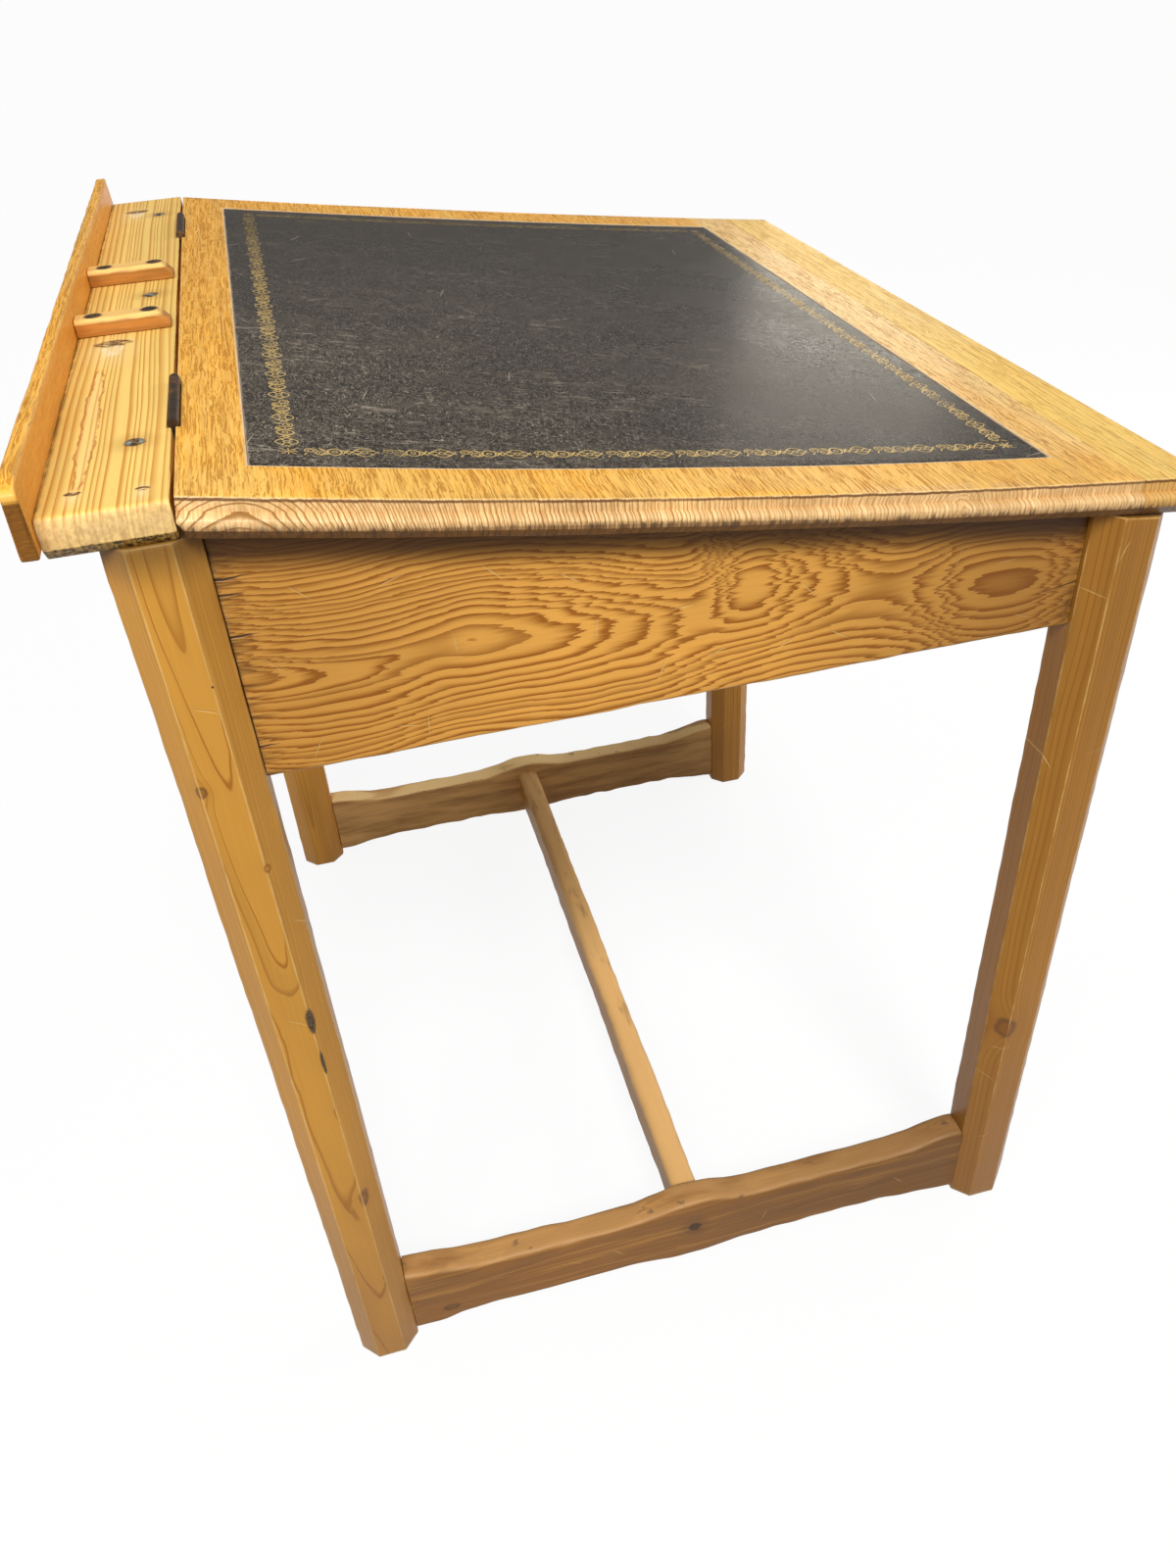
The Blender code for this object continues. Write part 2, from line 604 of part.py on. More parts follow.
def make_lid():
    """Cupped lid board, the moulded lipping along its front, and the leather let into the board."""
    start, end = 0.0, LIPPING_START - SEAT_GAP / 2
    heights = (0.0, -LID_FILLET, -LID_THICK)
    slant = [-up * math.tan(LID_SLOPE) for up in heights]
    outline = [(along, heights[0]) for along in spread(start, end, LID_STEPS)]
    outline += [(end, heights[1])]
    outline += [(along, heights[2]) for along in spread(end, slant[2], LID_STEPS)]
    outline += [(slant[1], heights[1])]
    board = loft("lid_board", lid_rings(outline), OAK_WOOD)
    start, end = LIPPING_START + SEAT_GAP / 2, LID_DEPTH
    outline = [(along, heights[0]) for along in spread(start, end, LIPPING_STEPS)]
    outline += [(end + reach, up) for reach, up in nose_arc()]
    outline += [(end + NOSE_REACH, NOSE_LOW)]
    outline += [(along, heights[2]) for along in spread(end, start, LIPPING_STEPS)]
    outline += [(start, heights[1])]
    lipping = loft("lid_lipping", lid_rings(outline), OAK_WOOD)
    start, end = LEATHER_BACK, LID_DEPTH - LEATHER_FRONT
    half = LID_X - LEATHER_END
    low = -LEATHER_SET - LEATHER_THICK
    sheet = lid_strip(start, end, -LEATHER_SET, low, LID_STEPS)
    leather = prism("leather_panel", sheet, -half, half, SIDE_VIEW, HIDE)
    recess = lid_strip(start - SEAT_GAP, end + SEAT_GAP, CUT_SPARE, low - SEAT_GAP, LID_STEPS)
    cut(board, prism("leather_recess", recess, -half - SEAT_GAP, half + SEAT_GAP, SIDE_VIEW))
    return board, lipping, leather


def make_leaf(name, sign, x, own, board):
    """One hinge leaf. sign is +1 on the shelf's side and -1 on the lid's; own lists its knuckles."""
    left, right = x - HINGE_LENGTH / 2, x + HINGE_LENGTH / 2
    inner = AXIS_Y + sign * LEAF_CLEARANCE / 2
    outer = inner + sign * LEAF_THICK
    ys = sorted((inner, outer))
    hole = PIN_RADIUS + PIN_CLEARANCE
    top = AXIS_Z - (hole + BARREL_RADIUS) / 2
    leaf = box(name, (left, ys[0], AXIS_Z - LEAF_DROP), (right, ys[1], top), HINGE_METAL)
    pitch = HINGE_LENGTH / KNUCKLES
    for i in range(KNUCKLES):
        start, end = left + i * pitch, left + (i + 1) * pitch
        if i in own:
            first = start + (KNUCKLE_GAP / 2 if i > 0 else 0.0)
            last = end - (KNUCKLE_GAP / 2 if i < KNUCKLES - 1 else 0.0)
            join(leaf, rod(name + "_knuckle_%d" % i, BARREL_RADIUS, first, last, hole=hole))
        else:
            first = start - (CUT_SPARE if i == 0 else 0.0)
            last = end + (CUT_SPARE if i == KNUCKLES - 1 else 0.0)
            cut(leaf, rod(name + "_gap_%d" % i, BARREL_RADIUS + KNUCKLE_GAP, first, last))
    ys = sorted((inner - sign * CUT_SPARE, outer + sign * SEAT_GAP))
    low = (left - SEAT_GAP, ys[0], AXIS_Z - LEAF_DROP - SEAT_GAP)
    high = (right + SEAT_GAP, ys[1], AXIS_Z + CUT_SPARE)
    cut(board, box(name + "_recess", low, high))
    wide = BARREL_RADIUS + HOUSING_CLEARANCE
    cut(board, rod(name + "_housing", wide, left - SEAT_GAP, right + SEAT_GAP))
    fixings = []
    for i in (-1, 0, 1):
        point = (x + i * LEAF_SCREW_PITCH, inner, AXIS_Z - LEAF_SCREW_DROP)
        label = name.replace("leaf", "screw") + "_%d" % (i + 2)
        fixings.append(screw(label, point, (0, sign, 0), SMALL_SCREW, LEAF_SCREW_LENGTH, (leaf, board)))
    smooth(leaf)
    return [leaf] + fixings


def make_hinges(shelf, board):
    """Two butt hinges let into the shelf's front edge and the lid's back edge."""
    moving = []
    for side, x in (("left", HINGE_LEFT_INSET - END_X), ("right", END_X - HINGE_RIGHT_INSET)):
        make_leaf("hinge_leaf_fixed_" + side, 1, x, (0, 2, 4), shelf)
        moving += make_leaf("hinge_leaf_lid_" + side, -1, x, (1, 3), board)
        pin = rod("hinge_pin_" + side, PIN_RADIUS, x - HINGE_LENGTH / 2, x + HINGE_LENGTH / 2, HINGE_METAL)
        smooth(pin)
    return moving


def swell(distance, run):
    """Smooth swelling: 1 at no distance, falling to 0 at the end of its run."""
    return 0.5 + 0.5 * math.cos(math.pi * min(abs(distance) / run, 1.0))


def make_stretchers(legs):
    """Two shaped end stretchers between the legs and a centre rail between them."""
    front, back = FRONT_INNER_Y + SEAT_GAP, BACK_INNER_Y - SEAT_GAP
    places = spread(front, front + STRETCHER_END_RUN, STRETCHER_STEPS)
    places += spread(RAIL_Y - STRETCHER_MID_RUN, RAIL_Y + STRETCHER_MID_RUN, 2 * STRETCHER_STEPS)
    places += spread(back - STRETCHER_END_RUN, back, STRETCHER_STEPS)
    upper, lower = [], []
    for y in places:
        end = max(swell(y - front, STRETCHER_END_RUN), swell(back - y, STRETCHER_END_RUN))
        middle = swell(y - RAIL_Y, STRETCHER_MID_RUN)
        upper.append((y, STRETCHER_TOP + STRETCHER_END_RISE * end + STRETCHER_MID_RISE * middle))
        lower.append((y, STRETCHER_BOTTOM - STRETCHER_END_FALL * end - STRETCHER_MID_FALL * middle))
    outline = lower + upper[::-1]
    stretchers = {}
    half = STRETCHER_TENON_THICK / 2
    low_z, high_z = STRETCHER_TENON_LOW, STRETCHER_TENON_HIGH
    for side, x in (("left", -LEG_X), ("right", LEG_X)):
        name = "stretcher_" + side
        made = prism(name, outline, x - STRETCHER_THICK / 2, x + STRETCHER_THICK / 2, SIDE_VIEW, LOW_WOOD)
        deep = front - STRETCHER_TENON_LENGTH
        tenon(made, legs["leg_front_" + side], (x - half, deep, low_z), (x + half, front + TENON_ROOT, high_z))
        deep = back + STRETCHER_TENON_LENGTH
        tenon(made, legs["leg_back_" + side], (x - half, back - TENON_ROOT, low_z), (x + half, deep, high_z))
        stretchers[side] = made
    inner = LEG_X - STRETCHER_THICK / 2 - SEAT_GAP
    wide = RAIL_THICK / 2
    side = []
    for i in range(RAIL_ROUND_STEPS + 1):
        turn = math.pi / 2 * i / RAIL_ROUND_STEPS
        y = wide - RAIL_ROUND * (1 - math.cos(turn))
        side.append((y, RAIL_TOP - RAIL_ROUND * (1 - math.sin(turn))))
    side.insert(0, (wide, RAIL_BOTTOM))
    outline = [(RAIL_Y + y, z) for y, z in side] + [(RAIL_Y - y, z) for y, z in reversed(side)]
    rail = prism("centre_rail", outline, -inner, inner, SIDE_VIEW, LOW_WOOD)
    half = RAIL_TENON_THICK / 2
    low_z, high_z = RAIL_BOTTOM + RAIL_TENON_SHOULDER, RAIL_TOP - RAIL_TENON_SHOULDER
    for side, sign in (("left", -1), ("right", 1)):
        xs = sorted((sign * (inner - TENON_ROOT), sign * (inner + RAIL_TENON_LENGTH)))
        tenon(rail, stretchers[side], (xs[0], RAIL_Y - half, low_z), (xs[1], RAIL_Y + half, high_z))
        point = (sign * (LEG_X + STRETCHER_THICK / 2), RAIL_Y, RAIL_SCREW_HEIGHT)
        through = (stretchers[side], rail)
        screw("stretcher_screw_" + side, point, (-sign, 0, 0), LARGE_SCREW, RAIL_SCREW_LENGTH, through)
    smooth(rail)


def make_shelf_screws(shelf, gallery, back_apron):
    """Screws down through the shelf into the back apron, and through the gallery into the shelf."""
    left, right = SHELF_SCREW_LEFT - END_X, END_X - SHELF_SCREW_RIGHT
    for name, x in (("left", left), ("middle", SHELF_SCREW_MIDDLE), ("right", right)):
        point = (x, BACK_APRON_Y + SHELF_SCREW_BACK, SHELF_TOP)
        screw("shelf_screw_" + name, point, (0, 0, -1), LARGE_SCREW, SHELF_SCREW_LENGTH, (shelf, back_apron))
    out = END_X - GALLERY_SCREW_INSET
    for name, x in (("left", -out), ("middle", 0.0), ("right", out)):
        point = (x, BACK_Y, SHELF_TOP - GALLERY_SCREW_DROP)
        screw("gallery_screw_" + name, point, (0, -1, 0), SMALL_SCREW, GALLERY_SCREW_LENGTH, (gallery, shelf))


def hang(pieces):
    """Hang the moving pieces on an empty on the hinge axis."""
    axis = bpy.data.objects.new("lid_axis", None)
    DESK.objects.link(axis)
    axis.location = (0.0, AXIS_Y, AXIS_Z)
    bpy.context.view_layer.update()
    for piece in pieces:
        piece.parent = axis
        piece.matrix_parent_inverse = axis.matrix_world.inverted()


clear_scene()
DESK = new_collection("writing_desk")
CUTTERS = new_collection("cutters")
SCREWS = []
LEG_WOOD = material("leg_pine", PINE, 0.45)
APRON_WOOD = material("apron_pine", PINE, 0.5)
LOW_WOOD = material("stretcher_pine", PINE, 0.6)
ROUGH_WOOD = material("rough_pine", PALE_PINE, 0.75)
SHELF_WOOD = material("shelf_pine", PALE_PINE, 0.45)
REST_WOOD = material("rest_pine", PALE_PINE, 0.55)
OAK_WOOD = material("oak", OAK, 0.4)
HIDE = material("hide", LEATHER, 0.5)
IRON = material("screw_steel", STEEL, 0.5, 1.0)
HINGE_METAL = material("hinge_iron", DARK_IRON, 0.5, 1.0)

LEGS = make_legs()
APRONS = make_aprons(LEGS)
make_well_floor()
SHELF, GALLERY = make_shelf()
make_pen_rests(SHELF)
BOARD, LIPPING, LEATHER_PANEL = make_lid()
LEAVES = make_hinges(SHELF, BOARD)
make_stretchers(LEGS)
make_shelf_screws(SHELF, GALLERY, APRONS[3])
hang([BOARD, LIPPING, LEATHER_PANEL] + LEAVES)
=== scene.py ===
"""Old sloping writing desk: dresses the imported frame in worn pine, oak, leather, gilding and iron."""
import math
from functools import partial, partialmethod, reduce

import bmesh
import bpy
import mathutils
import numpy as np
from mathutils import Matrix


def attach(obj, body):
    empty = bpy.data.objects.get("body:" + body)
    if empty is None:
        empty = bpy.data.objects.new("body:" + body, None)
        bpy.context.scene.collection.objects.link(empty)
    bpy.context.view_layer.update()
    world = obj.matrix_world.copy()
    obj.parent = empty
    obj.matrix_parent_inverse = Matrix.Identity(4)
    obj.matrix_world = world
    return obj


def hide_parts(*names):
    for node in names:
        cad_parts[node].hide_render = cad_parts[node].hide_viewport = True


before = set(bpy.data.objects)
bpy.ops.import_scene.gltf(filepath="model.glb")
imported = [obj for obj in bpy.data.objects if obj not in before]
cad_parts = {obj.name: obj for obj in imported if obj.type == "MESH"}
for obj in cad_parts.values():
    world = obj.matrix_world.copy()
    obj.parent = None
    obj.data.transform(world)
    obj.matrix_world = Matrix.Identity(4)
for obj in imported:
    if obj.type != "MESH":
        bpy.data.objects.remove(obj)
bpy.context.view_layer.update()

bl_info = {
    "name": "Sloping writing desk",
    "version": (1, 0, 0),
    "blender": (4, 5, 0),
    "location": "View3D > Sidebar > Desk",
    "description": "Builds the worn surfaces of a sloping writing desk round its frame",
    "category": "Add Mesh",
}

# Shared sizes of the frame, in metres
TAU = 2 * math.pi
GAP = 0.0003
LEG_X, BACK_LEG_Y, FRONT_LEG_Y = 0.3523, 0.2811, -0.2893
LEG_HALF, LEG_FLAT, BACK_TOP = 0.025, 0.0117, 0.7777
BACK_INNER_Y, FRONT_INNER_Y, INNER_X = 0.2561, -0.2643, 0.3273
APRON_X, APRON_HALF, APRON_BOTTOM = 0.3506, 0.010, 0.619
APRON_FACE = (-0.3590, -0.3570)
BACK_APRON_Y, FRONT_APRON_Y = 0.2794, -0.2876
SHELF_TOP, SHELF_BOTTOM, SHELF_END, SHELF_SWELL = 0.800, 0.778, 0.3765, 0.003
SHELF_FRONT_Y, GALLERY_FRONT_Y, BACK_Y = 0.2648, 0.3284, 0.3369
GALLERY_TOP, GALLERY_LOW, GALLERY_END, GALLERY_FALL = 0.8228, 0.7845, 0.389, 0.0165
SHELF_SCREW_X, SHELF_SCREW_Y, GALLERY_SCREW_Z = (-0.2904, 0.018, 0.304), 0.2838, 0.790
LID_SLOPE = math.radians(8.1)
LID_BACK_Y, LID_DEPTH, LID_X, LID_THICK = 0.2624, 0.6010, 0.3745, 0.022
LID_CUP, LID_TWIST = 0.0045, 0.0020
LIPPING_START, LIPPING_SHIFT = 0.5553, (41.0, -0.50, 0.02)
FILLET, NOSE_REACH, NOSE_ROUND, NOSE_LOW = 0.008, 0.006, 0.0035, -0.0155
LEATHER_BACK, LEATHER_FRONT, LEATHER_X = 0.0364, 0.5161, 0.3312
LEATHER_THICK, LEATHER_SET = 0.0012, 0.0002
HINGE_X, HINGE_HALF = (-0.2350, 0.2380), 0.0403
RAIL_Y, STRETCHER_HALF, STRETCHER_SCREW_Z = -0.0041, 0.013, 0.0547
REST_X, REST_HALF, REST_HIGH, REST_SCREW_Y = 0.0675, 0.00925, 0.0115, (0.3160, 0.2794)
SAWN_EDGE, PLAIN_EDGE = 0.0006, 0.001
SAWN_ENDS = ((SAWN_EDGE, SAWN_EDGE), (SAWN_EDGE, SAWN_EDGE))

# Light and camera, fitted to the photograph
AMBIENT = 0.27
FLOOR_REACH = 70.0
PHOTO_WIDE, PHOTO_HIGH, FOCAL_PIXELS, CENTRE_PIXELS = 1200, 1600, 1237.25, (599.38, 833.85)
CAMERA_PLACE, CAMERA_YAW, CAMERA_PITCH, CAMERA_ROLL = (-0.96862, 0.19512, 1.02932), -0.20845, -0.66541, -0.07283


# Sizes and colours that a user may change

def length(name, text, default):
    """Property for a length in metres."""
    return bpy.props.FloatProperty(name=name, description=text, default=default, min=0.0, precision=4, unit="LENGTH")


def colour(name, text, default):
    """Property for a linear colour."""
    return bpy.props.FloatVectorProperty(
        name=name, description=text, default=default, size=3, min=0.0, max=1.0, subtype="COLOR"
    )


class DeskSizes(bpy.types.PropertyGroup):
    """Sizes of the worn surfaces."""

    worn_edge: length("Worn edge", "Radius that use has given the edges", 0.0022)
    wander: length("Wander", "How far planed faces stray from flat", 0.00035)
    lid_edge: length("Lid edge", "Radius of the lid's top edge", 0.0013)
    border_width: length("Border width", "Width of the gilt border on the leather", 0.0128)
    border_repeat: length("Border repeat", "Length of one repeat of the gilt border", 0.0410)
    border_line: length("Border line", "Width of a line of gilding", 0.00075)
    slot_width: length("Slot width", "Width of the slot in a screw's head", 0.0011)


class DeskFinish(bpy.types.PropertyGroup):
    """Colours of the woods, leather and metal."""

    pine: colour("Pine", "Spring wood of the waxed pine", (0.74, 0.360, 0.056))
    pine_line: colour("Pine line", "Dark edge of a pine growth ring", (0.33, 0.108, 0.008))
    pine_pale: colour("Rubbed pine", "Pine where the wax is rubbed away", (0.84, 0.55, 0.20))
    shelf: colour("Shelf", "Spring wood of the shelf and pen rests", (0.93, 0.63, 0.172))
    shelf_line: colour("Shelf line", "Dark rings of the shelf", (0.62, 0.255, 0.028))
    # Low pine is also the painted shade that darkens the legs towards the floor.
    low_pine: colour("Low pine", "Pine of the stretchers, grey with floor dirt", (0.275, 0.120, 0.031))
    oak: colour("Oak", "Oak of the lid and gallery", (0.97, 0.450, 0.036))
    oak_pale: colour("Pale oak", "Bleached oak along the lid's margins", (0.95, 0.640, 0.180))
    oak_line: colour("Oak line", "Pores and rings of the oak", (0.42, 0.155, 0.014))
    # Dirt is also the colour of the painted shadow under the shelf on the back legs and of the painted shade round
    # screw heads.
    dirt: colour("Dirt", "Old dirt in corners and cracks", (0.045, 0.022, 0.010))
    leather: colour("Leather", "Black hide of the writing panel", (0.019, 0.013, 0.008))
    scuff: colour("Scuff", "Pale scuffs of the leather", (0.60, 0.50, 0.37))
    gilding: colour("Gilding", "Gold of the tooled border", (0.95, 0.65, 0.22))
    iron: colour("Iron", "Old brown iron of hinges and screws", (0.075, 0.048, 0.032))


# Surfaces worked out as whole arrays

def ripple(points, pitch, seed, waves=8):
    """Smooth noise of about -1 to 1: the sum of sine waves of random direction, each about one pitch long."""
    rng = np.random.default_rng(seed)
    ways = rng.normal(size=(waves, 3))
    ways *= TAU / pitch * rng.uniform(0.6, 1.5, (waves, 1)) / np.linalg.norm(ways, axis=1, keepdims=True)
    return np.sin(points @ ways.T + rng.uniform(0, TAU, waves)).sum(-1) / math.sqrt(waves * 1.6)


def dents(points, marks):
    """Depth of knocks at each point: a bell curve of the distance to each mark (x, y, z, radius, depth)."""
    depth = np.zeros(points.shape[:-1])
    for x, y, z, radius, deep in marks:
        away = np.linalg.norm(points - np.array((x, y, z)), axis=-1) / radius
        depth += deep * np.exp(-away ** 2)
    return depth


def rounded(corners, radii, shoulder, steps=4):
    """Outline with every corner turned into an arc, for all stations at once.

    corners is (stations, corners, 2), anticlockwise. Each corner gives a shoulder point, the points of its arc,
    which are the tangent point turned about the arc's centre, and a second shoulder point. The mark rises to 1 on
    arcs and is 0 on shoulders.
    """
    coming = corners - np.roll(corners, 1, 1)
    going = np.roll(corners, -1, 1) - corners
    come = np.linalg.norm(coming, axis=-1, keepdims=True)
    go = np.linalg.norm(going, axis=-1, keepdims=True)
    inward, outward = coming / come, going / go
    turn = np.arctan2(
        inward[..., 0] * outward[..., 1] - inward[..., 1] * outward[..., 0], (inward * outward).sum(-1)
    )[..., None]
    slack = np.tan(np.abs(turn) / 2) + 1e-9
    reach = np.minimum(np.asarray(radii, float).reshape(1, -1, 1) * slack, 0.44 * np.minimum(come, go))
    radius = reach / slack
    free = go - reach - np.roll(reach, -1, 1)
    pad = np.clip(0.42 * free, 1e-6, shoulder)
    start = corners - inward * reach
    centre = start + np.stack([-inward[..., 1], inward[..., 0]], -1) * np.sign(turn) * radius
    angle = turn * np.linspace(0, 1, steps + 1)
    arm = start - centre
    arc = np.stack([
        arm[..., :1] * np.cos(angle) - arm[..., 1:] * np.sin(angle),
        arm[..., :1] * np.sin(angle) + arm[..., 1:] * np.cos(angle),
    ], -1) + centre[:, :, None]
    first = (start - inward * np.roll(pad, 1, 1))[:, :, None]
    last = (corners + outward * (reach + pad))[:, :, None]
    ring = np.concatenate([first, arc, last], 2)
    bow = 0.55 + 0.45 * np.sin(np.linspace(0, math.pi, steps + 1))
    mark = np.tile(np.concatenate([[0.0], bow, [0.0]]), corners.shape[1])
    return ring.reshape(len(corners), -1, 2), mark


def ring_of(*pairs):
    """Corners of a section at every station, from pairs of numbers or arrays."""
    values = np.broadcast_arrays(*(np.asarray(value, float) for pair in pairs for value in pair))
    return np.stack(values, -1).reshape(-1, len(pairs), 2)


def rectangle(u0, u1, v0, v1):
    """Corners of a rectangle at every station, anticlockwise; each side may be a number or an array."""
    return ring_of((u0, v0), (u1, v0), (u1, v1), (u0, v1))


def stations(start, end, eases, pitch, shoulder, extra=()):
    """Places along a bar and how far the section draws in there.

    Each end is a quarter ellipse: place = run (1 - cos t), inset = depth (1 - sin t). One more ring at each end is
    left for the flat of the end face.
    """
    (run0, deep0), (run1, deep1) = eases
    turn = np.linspace(0, math.pi / 2, 5)
    head, head_in = start + run0 * (1 - np.cos(turn)), deep0 * (1 - np.sin(turn))
    tail, tail_in = (end - run1 * (1 - np.cos(turn)))[::-1], (deep1 * (1 - np.sin(turn)))[::-1]
    low, high = head[-1] + shoulder, tail[0] - shoulder
    count = max(2, int(round((high - low) / pitch)))
    extra = np.asarray(extra, float)
    middle = np.unique(np.concatenate([np.linspace(low, high, count), extra[(extra > low) & (extra < high)]]))
    place = np.concatenate([[start], head, middle, tail, [end]])
    inset = np.concatenate([[deep0], head_in, 0 * middle, tail_in, [deep1]])
    near_end = np.concatenate([np.ones(6), 0 * middle, np.ones(6)])
    near_end[[0, -1]] = 0.0
    return place, inset, near_end


def bar(start, end, corners, radii, place, eases, pitch=0.010, shoulder=0.006, extra=()):
    """Section carried along a line: corners(places) are rounded, drawn in at the ends and set in space by place."""
    along, inset, near_end = stations(start, end, eases, pitch, shoulder, extra)
    ring, mark = rounded(corners(along), radii, shoulder)
    if len(ring) == 1:
        ring = np.repeat(ring, len(along), 0)
    tangent = np.roll(ring, -1, 1) - np.roll(ring, 1, 1)
    normal = np.stack([tangent[..., 1], -tangent[..., 0]], -1)
    normal /= np.linalg.norm(normal, axis=-1, keepdims=True) + 1e-12
    ring = ring - normal * inset[:, None, None]
    ring[[0, -1]] += (ring[[0, -1]].mean(1, keepdims=True) - ring[[0, -1]]) * 0.12
    points = place(along[:, None], ring[..., 0], ring[..., 1])
    tip = ring + normal * 1e-4
    out = place(along[:, None], tip[..., 0], tip[..., 1]) - points
    out /= np.linalg.norm(out, axis=-1, keepdims=True) + 1e-12
    arris = np.maximum(mark[None, :], near_end[:, None])
    return points, out, arris


def weather(points, out, arris, seed, marks=(), amount=1.0):
    """Moves a surface along its normals: slow waves all over, quicker ones on the arrises, and knocks."""
    wander = bpy.context.scene.desk_sizes.wander * amount
    shift = wander * 0.55 * ripple(points, 0.16, seed) + wander * 0.9 * arris * ripple(points, 0.021, seed + 1)
    return points + out * (shift - dents(points, marks))[..., None]


def solid(name, points, arris, grain, mirror=False):
    """Closed mesh of rings (stations, count, 3), with the edge mark and the grain's own coordinates as attributes.

    With mirror, point j of an end ring pairs with point -1-j, and the end is filled with strips between the pairs.
    """
    n, m = points.shape[:2]
    i, j = np.arange(n - 1)[:, None], np.arange(m)[None, :]
    k = (j + 1) % m
    quads = np.stack(np.broadcast_arrays(i * m + j, i * m + k, (i + 1) * m + k, (i + 1) * m + j), -1)
    faces = quads.reshape(-1, 4).tolist()
    if mirror:
        a = np.arange(m // 2 - 1)
        strip = np.stack([a, a + 1, m - 2 - a, m - 1 - a], -1)
        faces += strip.tolist() + (strip + (n - 1) * m).tolist()
    else:
        faces += [list(range(m)), list(range((n - 1) * m, n * m))]
    return surface(name, points.reshape(-1, 3), faces, arris.reshape(-1), grain(points).reshape(-1, 3))


def surface(name, points, faces, arris, grain, sharp=38):
    """Mesh object from points and faces, its faces turned outwards and its attributes set."""
    mesh = bpy.data.meshes.new(name)
    mesh.from_pydata(points.tolist(), [], faces)
    made = bmesh.new()
    made.from_mesh(mesh)
    bmesh.ops.recalc_face_normals(made, faces=made.faces[:])
    made.to_mesh(mesh)
    made.free()
    mesh.shade_smooth()
    mesh.set_sharp_from_angle(angle=math.radians(sharp))
    mesh.attributes.new("arris", "FLOAT", "POINT").data.foreach_set("value", np.ascontiguousarray(arris, np.float32))
    flat = np.ascontiguousarray(grain, np.float32).ravel()
    mesh.attributes.new("grain", "FLOAT_VECTOR", "POINT").data.foreach_set("vector", flat)
    made = bpy.data.objects.new(name, mesh)
    bpy.context.scene.collection.objects.link(made)
    return made


def settle(piece, look, body, slot, *nodes):
    """Gives a piece its finish, hangs it on its body and lets it stand for its nodes."""
    piece.data.materials.clear()
    piece.data.materials.append(look)
    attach(piece, body)
    if nodes:
        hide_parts(*nodes)


def clothe(node, look):
    """Gives a node of the frame, which keeps its own mesh, its finish."""
    for holder in node.material_slots:
        holder.material = look


def timber(name, shape, grain, seed, look, slot, node, marks=(), amount=1.0):
    """Weathers a bar of the frame and puts it in place of its node."""
    points, out, arris = shape
    piece = solid(name, weather(points, out, arris, seed, marks, amount), arris, grain)
    settle(piece, look, "frame", slot, node)


def along(axis, heart, shift):
    """Grain coordinates of a piece: distance along it plus a shift, then the two offsets from the tree's heart."""
    order = {"x": (0, 1, 2), "y": (1, 0, 2), "z": (2, 0, 1)}[axis]

    def read(points):
        own = points[..., order].copy()
        own[..., 0] += shift
        own[..., 1] -= heart[0]
        own[..., 2] -= heart[1]
        return own

    return read


def spread_out(x, y, z):
    """Joins coordinates of matching or single shape into points."""
    return np.stack(np.broadcast_arrays(x, y, z), -1)


def beside(x):
    """Placing of a bar that runs from front to back at a distance along the desk."""
    return lambda s, u, v: spread_out(x + u, s, v)


def under_lid(y, below):
    """Height of the plane that lies below the lid's uncupped top."""
    return SHELF_TOP - math.tan(LID_SLOPE) * (LID_BACK_Y - y) - below / math.cos(LID_SLOPE)


def lid_depth(y):
    """Depth of the lid's cupped underside below its uncupped top, with a millimetre to spare."""
    share = 2 * (LID_BACK_Y - y) / math.cos(LID_SLOPE) / LID_DEPTH - 1
    return LID_THICK + LID_CUP * (1 - share ** 2) + 0.001


def on_lid(x, away, up):
    """Points on the lid at distances from its back edge and heights over its top.

    The hollow is a parabola across the lid, deeper at the near end, and the underside keeps the plain hollow.
    """
    share = 2 * away / LID_DEPTH - 1
    hollow = (LID_CUP - LID_TWIST * (x / LID_X) * np.clip(1 + up / LID_THICK, 0, 1)) * (1 - share ** 2)
    height = up - hollow
    y = LID_BACK_Y - away * math.cos(LID_SLOPE) - height * math.sin(LID_SLOPE)
    z = SHELF_TOP - away * math.sin(LID_SLOPE) + height * math.cos(LID_SLOPE)
    return spread_out(x, y, z)


# Node trees

